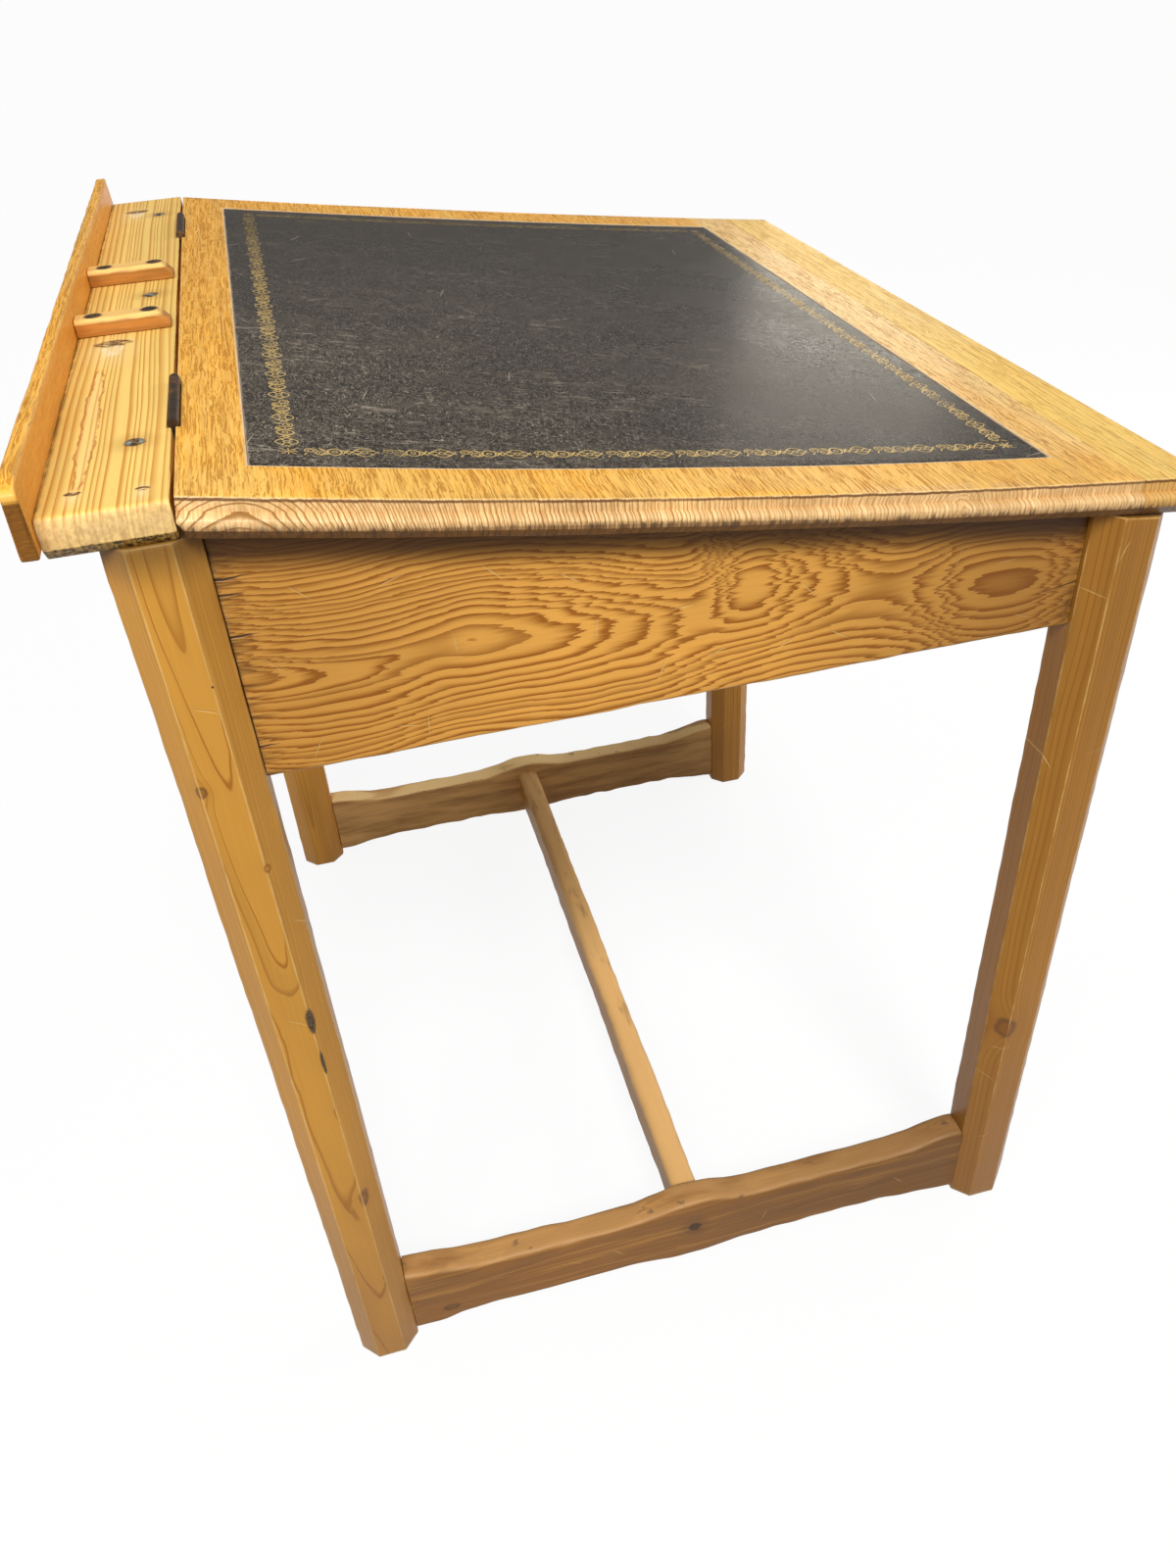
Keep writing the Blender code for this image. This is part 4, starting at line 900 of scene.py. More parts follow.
class DESK_OT_well(bpy.types.Operator):
    """Give the unseen floor of the well its rough sawn finish"""

    bl_idname = "desk.well"
    bl_label = "Well floor"

    def execute(self, context):
        finish = context.scene.desk_finish
        look, g, shader = new_look("Rough pine")
        spot = g.place()
        x, y, z = g.split(spot)
        own = g.join(x, g.add(y, 0.03), g.sub(z, 0.56))
        fibre = g.use("Wood fibre", Grain=own)
        away = g.use("Heart distance", Grain=own, Wander=0.02, Teeth=0.002)["Distance"]
        late = g.use("Growth rings", Distance=away, Spacing=0.0052)["Late"]
        saw = g.step(g.noise(spot, (420, 9, 9), 1.0), 0.4, 0.7)
        paint = g.mix(g.mul(late, 0.7), g.tint(finish.pine[:], 0.85), finish.pine_line)
        paint = g.tint(paint, g.add(0.95, g.swing(fibre["Streak"], 0.12), g.swing(fibre["Patch"], 0.2)))
        paint = g.mix(g.mul(g.use("Grime", Amount=0.42)["Dirt"], 0.5), paint, finish.dirt)
        height = g.add(g.mul(saw, 0.6), g.mul(fibre["Streak"], 0.4))
        finish_look(g, shader, paint, g.add(0.68, g.swing(fibre["Streak"], 0.1)), g.bump(height, 0.5, 0.0006))
        for name in ("bearer_left", "bearer_right", "well_board_front", "well_board_middle", "well_board_back"):
            clothe(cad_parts[name], look)
        return {"FINISHED"}


def in_hinges(x):
    """1 where a hinge is let in along the desk, 0 elsewhere."""
    return (np.abs(x[..., None] - np.array(HINGE_X)) < HINGE_HALF).any(-1).astype(float)


def hinge_stops():
    """Places along the desk at both sides of each end of a hinge."""
    return np.array([
        middle + side * (HINGE_HALF + step) for middle in HINGE_X for side in (-1, 1) for step in (-1e-4, 1e-4)
    ])


class DESK_OT_shelf(bpy.types.Operator):
    """Make the fixed shelf and the gallery board behind it"""

    bl_idname = "desk.shelf"
    bl_label = "Shelf and gallery"

    def execute(self, context):
        finish = context.scene.desk_finish

        def section(x):
            """Shelf section: the top falls along an ellipse over the end's swelling, the underside rises in a slope."""
            out = np.clip((np.abs(x) - SHELF_END) / SHELF_SWELL, 0, 1)
            top = 0.791 + 0.009 * np.sqrt(1 - out ** 2)
            low = SHELF_BOTTOM + 0.006 * np.clip((np.abs(x) - (SHELF_END - 0.0025)) / 0.0055, 0, 1)
            let = in_hinges(x)
            front = SHELF_FRONT_Y + 0.0010 * let
            back = GALLERY_FRONT_Y - GAP
            inner, outer = front + SAWN_EDGE + 0.0013 * let, top - SAWN_EDGE - 0.0022 * let
            return ring_of((front, low), (back, low), (back, top), (inner, top), (front, outer))

        swell = SHELF_END + SHELF_SWELL * np.sin(np.linspace(0, 1.45, 7))
        stops = np.concatenate([swell, -swell, [SHELF_END - 0.0025, 0.0025 - SHELF_END], hinge_stops()])
        points, out, arris = bar(
            -SHELF_END - SHELF_SWELL, SHELF_END + SHELF_SWELL, section, [0.0012, 0.0008, 0.0006, 0.0004, 0.0004],
            spread_out, ((0.00025, 0.0002), (0.00025, 0.0002)), 0.009, 0.0004, stops,
        )
        fall = SHELF_END - 0.004
        torn_knots = (
            (0.3241, 0.3037, 0.006, 0.0014, 1.5), (-0.0999, 0.3046, 0.008, 0.0016, 1.7),
            (-0.353, 0.3118, 0.003, 0.0009, 0.6), (-0.3592, 0.2778, 0.003, 0.0008, 0.55),
        )
        marks = [(x, y, SHELF_TOP, radius, deep) for x, y, radius, deep, _ in torn_knots]
        points = weather(points, out, arris * (np.abs(points[..., 0]) < fall), 51, marks, 0.8)

        def shelf_marks(g, spot, axes, paint, height, shine):
            """Torn knots, the resin streak, painted shade round the screws, dirt along the gallery, and dark undercut
            ends.
            """
            for x, y, _, _, size in torn_knots:
                cream = g.blot(spot, (x - 0.006 * size, y, SHELF_TOP), 0.0044 * size, (0.45, 1, 1))
                torn = g.blot(spot, (x + 0.002 * size, y, SHELF_TOP), 0.0056 * size, (1.25, 0.8, 1))
                strand = g.step(g.noise(spot, (70, 620, 70), 3.0, 0.6), 0.36, 0.62, 0.25, 1.0)
                paint = g.mix(g.mul(cream["Core"], strand, 0.80 if size > 1 else 0.35), paint, (0.96, 0.80, 0.50))
                paint = g.mix(g.mul(cream["Halo"], 0.22), paint, (0.96, 0.76, 0.40))
                shred = g.step(g.noise(spot, (700, 160, 160)), 0.34, 0.56)
                paint = g.mix(g.mul(torn["Core"], shred), paint, (0.14, 0.055, 0.022))
                height = g.add(height, g.mul(torn["Core"], shred, -2.0))
            share = g.line(axes["x"], 1 / 0.100, 0.250 / 0.100)
            inside = g.max(g.invert(g.mul(share, share)), 0.0)
            wave = g.swing(g.noise(spot, (36, 30, 1), 3.0, 0.62), 0.0042)
            aside = g.abs(g.add(axes["y"], -0.3095, wave))
            aside = g.sub(aside, g.mul(g.math("SQRT", inside), 0.0042))
            resin = g.mul(g.fade(g.abs(aside), 0.0002, 0.0011), g.step(inside, 0.0, 0.1))
            paint = g.mix(g.mul(g.fade(aside, -0.0006, 0.0), g.step(inside, 0.0, 0.3), 0.22), paint, (0.95, 0.72, 0.34))
            resin = g.mul(resin, g.step(g.noise(spot, (90, 90, 60)), 0.30, 0.55))
            paint = g.mix(g.mul(resin, 0.80), paint, (0.50, 0.17, 0.035))
            for x in SHELF_SCREW_X:
                # Painted shade: a dark ring where each screw head sits in its hole, and a faint darker halo round it.
                ring = g.blot(spot, (x, SHELF_SCREW_Y, SHELF_TOP), 0.0062)
                paint = g.mix(g.mul(ring["Core"], 0.75), paint, finish.dirt)
                paint = g.mix(g.mul(ring["Halo"], 0.28), paint, finish.pine_line)
            rough = g.noise(spot, (90, 240, 90), 3.0, 0.6)
            back = g.mul(g.step(axes["y"], 0.3245, 0.3283), g.step(rough, 0.3, 0.6))
            paint = g.mix(g.mul(back, 0.6), paint, finish.dirt)
            end = g.abs(axes["x"])
            speck = g.fade(g.noise(spot, (300, 340, 300), 3.0, 0.65), 0.42, 0.56)
            under = g.mul(g.fade(g.add(axes["z"], g.swing(rough, 0.001)), 0.7838, 0.7850), g.step(end, 0.370, 0.374))
            paint = g.mix(g.mul(under, g.line(speck, 0.70, 0.26)), paint, finish.dirt)
            face = g.mul(g.step(end, 0.3770, 0.3790), g.invert(under))
            paint = g.mix(g.mul(face, 0.40), paint, (0.93, 0.68, 0.36))
            paint = g.mix(g.mul(face, g.step(rough, 0.42, 0.70), 0.28), paint, (0.40, 0.19, 0.07))
            paint = g.mix(g.mul(face, speck, 0.24), paint, (0.30, 0.14, 0.05))
            return paint, height, shine

        look = pine_look(
            "Shelf pine", finish.shelf, finish.shelf_line, 0.0037, wander=0.0090, teeth=0.0010, strength=1.12,
            early=0.20, rough=0.5, coat=0.05, rub=0.4, dirt=0.20, scratch=0.3, flat=("x", "y"), after=shelf_marks,
        )
        piece = solid("shelf_board", points, arris, along("x", (0.297 - 0.17, 0.800 - 0.03), 21.0))
        settle(piece, look, "frame", "shelf_pine", "shelf")

        def gallery_reach(x):
            """How far a place lies along the fall of the gallery's end, from 0 to 1."""
            return np.clip((np.abs(x) - (GALLERY_END - GALLERY_FALL)) / GALLERY_FALL, 0, 1)

        def gallery_section(x):
            """Gallery section: a tall thin board whose top falls along an ellipse towards each end."""
            over = gallery_reach(x)
            top = GALLERY_TOP - 0.007 * (1 - np.sqrt(1 - over ** 2 * 0.9999))
            return rectangle(GALLERY_FRONT_Y, BACK_Y, GALLERY_LOW, top)

        ends = GALLERY_END - GALLERY_FALL * (1 - np.sin(np.linspace(0, 1.5, 9)))
        points, out, arris = bar(
            -GALLERY_END, GALLERY_END, gallery_section, [0.001, 0.001, 0.0017, 0.0022], spread_out,
            ((0.0012, 0.0010), (0.0012, 0.0010)), 0.010, 0.003, np.concatenate([ends, -ends]),
        )
        knocks = ((-0.385, 0.333, 0.817, 0.006, 0.0009), (0.386, 0.330, 0.818, 0.008, 0.002))
        points = weather(points, out, arris, 57, knocks, 0.9)
        scoop = 0.0055 * np.exp(-((points[..., 2] - 0.8035) / 0.0070) ** 2)
        points[..., 0] -= np.sign(points[..., 0]) * scoop * gallery_reach(points[..., 0]) ** 2
        piece = solid("gallery_board", points, arris, along("x", (0.3326, 0.78), 26.0))
        settle(piece, oak_look("Gallery oak", gallery=True), "frame", "oak", "gallery")
        return {"FINISHED"}


def oak_look(name, gallery=False, lipping=False):
    """Oak under old varnish: dark pores and pale rays along the grain, rings about its hearts, worn edges and dirt.

    The lid's grain coordinates run along the desk, down the slope and up from the lid's top.
    """
    finish = bpy.context.scene.desk_finish
    look, g, shader = new_look(name)
    board = not (gallery or lipping)
    own, spot = g.attribute("grain"), g.place()
    _, a, b = g.split(own)
    if lipping:
        a, b = g.sub(a, LIPPING_SHIFT[1]), g.sub(b, LIPPING_SHIFT[2])
    x, y, z = g.split(spot)
    fibre, pores = g.use("Wood fibre", Grain=own), g.use("Oak pores", Grain=own)
    if board:
        first, second = (
            g.use("Heart distance", Grain=g.vector("SUBTRACT", own, heart), Wander=wander, Teeth=0.0008)["Distance"]
            for heart, wander in (((0, 0.030, -0.035), 0.006), ((0.4, 0.434, -0.0120), 0.010))
        )
        first = g.mul(first, g.step(first, 0.02, 0.12, 0.55, 1.0))
        joint = g.step(g.add(a, g.swing(g.noise(own, (2, 2, 60), 1.0), 0.004)), 0.362, 0.3625)
        away = g.add(g.mul(first, g.invert(joint)), g.mul(second, joint))
        spacing = 0.0025
    else:
        away = g.use("Heart distance", Grain=own, Wander=0.016, Teeth=0.0010)["Distance"]
        spacing = 0.0034
    late = g.use("Growth rings", Distance=away, Spacing=spacing, Early=0.35)["Late"]
    if gallery:
        end = g.abs(g.split(g.put("NewGeometry").outputs["Normal"])[0])
        end = g.mul(g.step(end, 0.30, 0.70), g.step(g.abs(x), GALLERY_END - 0.012, GALLERY_END - 0.008))
    else:
        end = g.step(g.abs(x), LID_X - 0.0012, LID_X + 0.0002)
    margin = g.noise(own, (3, 22, 22))
    if board:
        edges = g.max(g.fade(x, -0.350, -0.326), g.mul(g.step(a, 0.46, 0.53), 0.8))
        margin = g.add(margin, g.mul(edges, 0.22))
    # The lipping's colours are brightened as a painted sheen, while its real shine is kept low further down.
    first, second = ((0.98, 0.63, 0.140), (0.99, 0.75, 0.260)) if lipping else (finish.oak, finish.oak_pale)
    paint = g.mix(g.step(margin, 0.40, 0.85, 0.0, 0.40), first, second)
    if board:
        upper = g.step(b, -0.004, -0.003)
        # Pale wavy strip along the leather's front edge: partly bleached oak, partly a painted sheen.
        strip = g.mul(g.step(a, LEATHER_FRONT - 0.002, LEATHER_FRONT + 0.002), g.step(x, -0.356, -0.296), upper)
        painted_sheen = g.mul(g.step(margin, 0.30, 0.75, 0.30, 0.80), g.step(fibre["Streak"], 0.30, 0.70, 0.60, 1.0))
        paint = g.mix(g.mul(strip, painted_sheen), paint, (0.97, 0.70, 0.30))
    figure = g.mul(late, g.invert(end))
    paint = g.mix(g.mul(figure, 0.58 if lipping else 0.26), paint, finish.oak_line)
    flat = g.invert(g.mul(end, 0.9))
    ray, dash = g.mul(pores["Ray"], flat), g.mul(pores["Pore"], flat)
    paint = g.mix(g.mul(ray, 0.40 if lipping else 0.44), paint, finish.oak_pale)
    paint = g.mix(g.mul(dash, 0.45 if lipping else 0.72), paint, finish.oak_line)
    paint = g.tint(paint, g.add(1.0, g.swing(fibre["Streak"], 0.26), g.swing(fibre["Patch"], 0.14)))
    worn = g.use("Edge wear", Amount=0.5)
    paint = g.mix(g.mul(worn["Wear"], 0.30), paint, (0.90, 0.60, 0.22))
    soil = g.use("Grime", Amount=0.24)["Dirt"]
    paint = g.mix(g.mul(soil, 0.35), paint, finish.oak_line)
    if gallery:
        face = g.mul(g.fade(y, 0.3290, 0.3300), g.fade(z, 0.8212, 0.8222))
        smooth = g.mix(fibre["Patch"], (0.98, 0.44, 0.060), (0.84, 0.34, 0.040))
        smooth = g.tint(smooth, g.add(1.0, g.swing(fibre["Streak"], 0.10)))
        paint = g.mix(g.mul(face, 0.85), paint, smooth)
        # Painted shade: the gallery's ends below the lip, where the scoop faces down, are painted dark brown.
        dark = g.mul(end, g.fade(z, 0.8120, 0.8150))
        paint = g.mix(g.mul(dark, 0.95), paint, g.mix(fibre["Streak"], (0.10, 0.034, 0.003), (0.25, 0.090, 0.008)))
        paint = g.mix(g.step(y, 0.3352, 0.3366, 0.0, 0.35), paint, finish.oak_line)
    else:
        rows = g.noise(g.join(g.mul(a, 900.0), g.mul(b, 140.0), x), (1, 1, 1), 3.0, 0.6)
        cut = g.mix(g.step(rows, 0.30, 0.70), (0.62, 0.36, 0.145), (0.92, 0.64, 0.33))
        cut = g.mix(g.min(g.mul(late, g.step(a, 0.15, 0.40, 1.35, 0.75)), 1.0), cut, (0.27, 0.115, 0.035))
        cut = g.tint(cut, g.add(1.06, g.swing(g.noise(own, (1, 26, 40), 3.0), 0.34)))
        if lipping:
            cut = g.mix(0.75, cut, g.mix(late, (0.68, 0.36, 0.085), (0.40, 0.16, 0.03)))
        paint = g.mix(g.mul(end, 0.88), paint, cut)
        edge = g.add(b, g.swing(g.noise(g.join(g.mul(a, 130.0), 0.0, x), (1, 1, 1), 3.0, 0.7), 0.0010))
        crisp = g.mul(g.step(edge, -0.0026, -0.0018), g.fade(edge, -0.0008, -0.0003), end)
        paint = g.mix(g.mul(crisp, 0.92), paint, (0.15, 0.060, 0.018))
        paint = g.mix(g.mul(end, g.step(edge, -0.0008, -0.0002), 0.40), paint, (0.95, 0.74, 0.42))
        ragged = g.noise(g.join(g.mul(a, 420.0), g.mul(b, 90.0), x), (1, 1, 1), 4.0, 0.7)
        under = g.fade(g.add(b, g.swing(ragged, 0.0040)), -0.0164, -0.0112)
        under = g.mul(under, g.step(g.abs(x), 0.366, 0.373, 0.45, 0.94))
        paint = g.mix(under, paint, g.mix(g.step(ragged, 0.3, 0.7), (0.055, 0.024, 0.009), (0.30, 0.140, 0.046)))
    if board:
        gap_x = g.sub(g.abs(x), LEATHER_X)
        gap_a = g.max(g.sub(LEATHER_BACK, a), g.sub(a, LEATHER_FRONT))
        rim = g.max(gap_x, gap_a)
        rim = g.mul(g.fade(rim, 0.0006, 0.0018), g.step(g.noise(spot, (80, 80, 80)), 0.15, 0.45), upper)
        paint = g.mix(g.mul(rim, 0.75), paint, (0.86, 0.70, 0.50))
    hair, streak = fibre["Hair"], fibre["Streak"]
    height = g.add(g.mul(dash, -0.9), g.mul(ray, 0.3), g.mul(streak, 0.25), g.mul(late, end, -1.2), g.mul(hair, 0.12))
    shine = g.add(0.36, g.swing(streak, 0.06), g.mul(dash, 0.25), g.mul(soil, 0.2), g.swing(fibre["Patch"], 0.08))
    coat, gloss = (0.03, 0.12) if lipping else (0.10, 0.22)
    finish_look(
        g, shader, paint, shine, g.bump(height, 0.45, 0.0005), Coat_Weight=coat, Coat_Roughness=0.22,
        Specular_IOR_Level=gloss,
    )
    return look


class DESK_OT_pen_rests(bpy.types.Operator):
    """Make the two pen rests on the shelf"""

    bl_idname = "desk.pen_rests"
    bl_label = "Pen rests"

    def execute(self, context):
        finish = context.scene.desk_finish
        front, back = SHELF_FRONT_Y + 0.0022, GALLERY_FRONT_Y - GAP
        low, top, slope = SHELF_TOP + GAP, SHELF_TOP + REST_HIGH, 0.0026

        def section(y):
            """Pen rest section: a strip with bevelled long edges whose top drops at the front end."""
            high = top - 0.0065 * (1 - np.clip((y - front) / 0.007, 0, 1))
            w = REST_HALF
            cut = np.minimum(slope, (high - low) * 0.45)
            return ring_of((-w, low), (w, low), (w, high - cut), (w - cut, high), (cut - w, high), (-w, high - cut))

        def sides(g, spot, axes, paint, height, shine):
            """Brown stained sides below the pale top, and painted shade round the screws."""
            stain = g.fade(g.add(axes["z"], g.swing(g.noise(spot, (90, 90, 300)), 0.0012)), 0.8078, 0.8100)
            streaky = g.step(g.noise(spot, (160, 24, 190), 3.0), 0.35, 0.65)
            paint = g.mix(g.mul(stain, 0.92), paint, g.mix(streaky, (0.36, 0.135, 0.022), (0.54, 0.200, 0.034)))
            across = g.sub(g.abs(axes["x"]), REST_X)
            # Painted shade of the countersunk holes: a dark ring round each screw head.
            for y in REST_SCREW_Y:
                flat = g.join(across, g.sub(axes["y"], y), 0.0)
                away = g.vector("LENGTH", flat)
                paint = g.mix(g.step(away, 0.0050, 0.0072, 0.85, 0.0), paint, finish.dirt)
            return paint, height, shine

        look = pine_look(
            "Pen rest pine", (0.93, 0.58, 0.175), finish.shelf_line, 0.0030, wander=0.004, teeth=0.0006, strength=0.5,
            rough=0.45, coat=0.08, rub=0.5, dirt=0.24, scratch=0.3, flat=("x", "y"), after=sides,
        )
        for index, (side, x) in enumerate((("left", -REST_X), ("right", REST_X))):
            shape = bar(
                front, back, section, [SAWN_EDGE] * 2 + [PLAIN_EDGE] * 4, beside(x),
                ((0.0008, 0.0008), (SAWN_EDGE, SAWN_EDGE)), 0.004, 0.0008, (front + 0.0068, front + 0.0072),
            )
            grain = along("y", (x + 0.03, 0.79), 31.0 + 3 * index)
            chips = ((x - 0.009, 0.30, 0.8105, 0.005, 0.0007), (x + 0.008, front, 0.806, 0.004, 0.0008))
            name = "pen_rest_" + side
            timber(name + "_strip", shape, grain, 61 + index, look, "rest_pine", name, chips, 0.6)
        return {"FINISHED"}


def lid_edge_profile():
    """Moulded edge of the lid, as reach past its plain edge and height over its top.

    It is the top edge's arc, the upright fillet and the nose's quarter ellipse.
    """
    edge = bpy.context.scene.desk_sizes.lid_edge
    arc, nose = np.linspace(0.15, math.pi / 2, 5), np.linspace(0, math.pi / 2, 8)
    reach = np.concatenate([-edge * (1 - np.sin(arc)), [0.0], NOSE_REACH * np.sin(nose)])
    up = np.concatenate([-edge * (1 - np.cos(arc)), [-FILLET + 0.0003], -FILLET - NOSE_ROUND * (1 - np.cos(nose))])
    return reach, up


def lid_sections():
    """Places along the desk with the lid's highest and lowest trim there, from the near end to the far one.

    Each end is the moulded edge with its lower chamfer, its points held a hair apart.
    """
    reach, top = lid_edge_profile()
    x = LID_X + reach + np.repeat((0.0, 1e-5, 2e-5), (5, 1, 8))
    low = np.where(x > LID_X, -LID_THICK + (LID_THICK + NOSE_LOW) * np.clip((x - LID_X) / NOSE_REACH, 0, 1), -LID_THICK)
    flat = LID_X - bpy.context.scene.desk_sizes.lid_edge
    recess = (LEATHER_X + GAP) * np.array((-1, 1))
    inner = np.unique(np.concatenate([np.linspace(-flat, flat, 78), recess + 1e-4, recess - 1e-4, hinge_stops()]))
    places = np.concatenate([-x[::-1], inner, x])
    tops = np.concatenate([top[::-1], 0 * inner, top])
    lows = np.concatenate([low[::-1], 0 * inner - LID_THICK, low])
    marks = np.concatenate([np.ones(len(x)), 0 * inner, np.ones(len(x))])
    return places[:, None], tops[:, None], lows[:, None], marks[:, None]


def lid_solid(name, away, up, arris, seed):
    """Lid piece: its outline of distances and heights is trimmed to each section of the lid and set on the slope."""
    x, top, low, mark = lid_sections()
    up = np.clip(np.broadcast_to(up, (len(x), up.shape[-1])), low, np.maximum(top, low + 1e-4))
    away = np.broadcast_to(away, up.shape)
    points = on_lid(x, away, up)
    edge = np.maximum(np.broadcast_to(arris, up.shape), mark)
    rough = np.clip((-0.012 - up) / 0.006, 0, 1) * mark
    wander = bpy.context.scene.desk_sizes.wander
    push = wander * (0.5 * mark * ripple(points, 0.09, seed) + 1.1 * rough * ripple(points, 0.008, seed + 1))
    points[..., 0] += np.sign(x) * push
    points[..., 2] += wander * 0.35 * (1 - mark) * ripple(points, 0.17, seed + 2) * np.clip(1 + up / 0.006, 0, 1)
    shift = spread_out(x, away, up)
    return solid(name, points, edge, lambda given: shift)


class DESK_OT_lid(bpy.types.Operator):
    """Make the oak lid board and its front lipping"""

    bl_idname = "desk.lid"
    bl_label = "Lid"

    def execute(self, context):
        x = lid_sections()[0]
        end = LIPPING_START - GAP / 2
        back, front = LEATHER_BACK - GAP, LEATHER_FRONT + GAP
        line = np.unique(np.concatenate([
            np.linspace(0.006, end - 0.002, 52), [back - 1e-4, back + 1e-4, front - 1e-4, front + 1e-4, end],
        ]))
        let = in_hinges(x)
        first = 0.0028 * let
        over = np.concatenate([first, np.broadcast_to(line, (len(x), len(line)))], 1)
        sunk = (np.abs(x) < LEATHER_X + GAP) & (line > back) & (line < front)
        height = np.concatenate([0 * first, np.where(sunk, -LEATHER_THICK - LEATHER_SET - GAP, 0.0)], 1)
        under = np.concatenate([over[:, :0:-1], 0 * first + LID_THICK * math.tan(LID_SLOPE) + 0.001 * let], 1)
        lip = 0.0026 * let + 0.0008 * (1 - let)
        edge = lip * math.tan(LID_SLOPE) + 0.001 * let
        away = np.concatenate([over, under, edge], 1)
        up = np.concatenate([height, 0 * under - LID_THICK, -lip], 1)
        arris = np.zeros(away.shape[1])
        arris[[0, -1]] = 1.0
        board = lid_solid("lid_board_oak", away, up, arris, 71)
        settle(board, oak_look("Lid oak"), "lid", "oak", "lid_board")

        start = LIPPING_START + GAP / 2
        reach, drop = lid_edge_profile()
        away = np.concatenate([
            np.linspace(start, LID_DEPTH - context.scene.desk_sizes.lid_edge, 7), LID_DEPTH + reach,
            [LID_DEPTH + NOSE_REACH], np.linspace(LID_DEPTH, start, 6),
        ])[None]
        up = np.concatenate([np.zeros(7), drop, [NOSE_LOW], np.full(6, -LID_THICK)])[None]
        arris = np.concatenate([np.zeros(7), np.ones(5), [0.5], np.linspace(0.5, 1, 8), [1.0], np.zeros(6)])
        lipping = lid_solid("lid_lipping_oak", away, up, arris, 75)
        shift = np.empty(len(lipping.data.vertices) * 3, np.float32)
        own = lipping.data.attributes["grain"].data
        own.foreach_get("vector", shift)
        shift = shift.reshape(-1, 3) + np.array(LIPPING_SHIFT, np.float32)
        own.foreach_set("vector", shift.ravel())
        settle(lipping, oak_look("Lipping oak", lipping=True), "lid", "oak", "lid_lipping")
        return {"FINISHED"}


def leather_look():
    """Black hide: a net of pale crinkles, where noise crosses its middle, long fine scratches, and patchy polish."""
    finish = bpy.context.scene.desk_finish
    look, g, shader = new_look("Black leather")
    own = g.attribute("grain")
    x, a, _ = g.split(own)

    def crossing(noise, width):
        """Thin lines where a noise passes through its middle value."""
        return g.fade(g.abs(g.sub(noise, 0.5)), 0.0, width)

    broken = g.step(g.noise(own, (48, 75, 1), 3.0, 0.6), 0.36, 0.60)
    corner = g.mul(g.fade(a, 0.06, 0.34), g.fade(x, -0.30, 0.10))
    coarse = crossing(g.noise(own, (190, 270, 1), 2.0, 0.6, 1.0), g.line(corner, 0.012, 0.020))
    coarse = g.mul(coarse, g.step(broken, 0.0, 1.0, 0.66, 1.0))
    fine = g.mul(crossing(g.noise(own, (420, 560, 1), 1.0, 0.5, 0.8), 0.040), g.step(broken, 0.0, 1.0, 0.85, 0.45))
    patch = g.noise(own, (7, 7, 1), 3.0, 0.55)
    used = g.mul(g.step(a, 0.16, 0.44, 1.0, 0.55), g.step(x, -0.10, 0.30, 1.0, 0.40))
    used = g.mul(used, g.step(patch, 0.25, 0.70, 0.55, 1.0))
    tilted = g.join(g.add(x, g.mul(a, 0.16)), a, 0.0)
    long = crossing(g.noise(tilted, (170, 10, 1), 3.0, 0.62, 0.3), 0.020)
    where = g.step(g.noise(tilted, (16, 7, 1), 3.0), 0.42, 0.64)
    scuff = g.mul(long, where, g.step(g.noise(own, (60, 60, 1)), 0.40, 0.60))
    slash = g.use("Scratches", Vector=own, Size=0.085, Width=0.006, Share=0.45)["Line"]
    bloom = g.mul(g.step(g.noise(tilted, (34, 10, 1), 4.0, 0.65), 0.48, 0.74), used)
    paint = g.tint(finish.leather[:], g.add(0.80, g.mul(patch, 0.5)))
    paint = g.mix(g.mul(bloom, 0.07), paint, finish.scuff)
    paint = g.mix(g.mul(g.max(coarse, g.mul(fine, 0.40)), used, 0.80), paint, finish.scuff)
    paint = g.mix(g.mul(scuff, used, 0.72), paint, finish.scuff)
    paint = g.mix(g.mul(slash, 0.55), paint, finish.scuff)
    worn = g.use("Edge wear", Amount=0.55)
    paint = g.mix(g.mul(worn["Wear"], 0.5), paint, finish.scuff)
    shine = g.add(0.27, g.swing(patch, 0.10), g.mul(coarse, 0.10), g.mul(bloom, 0.10), g.mul(scuff, 0.12))
    height = g.add(g.mul(coarse, -0.45), g.mul(fine, -0.5), g.mul(scuff, -0.3), g.mul(slash, -0.4))
    finish_look(g, shader, paint, shine, g.bump(height, 0.8, 0.0006), Specular_IOR_Level=0.16)
    return look


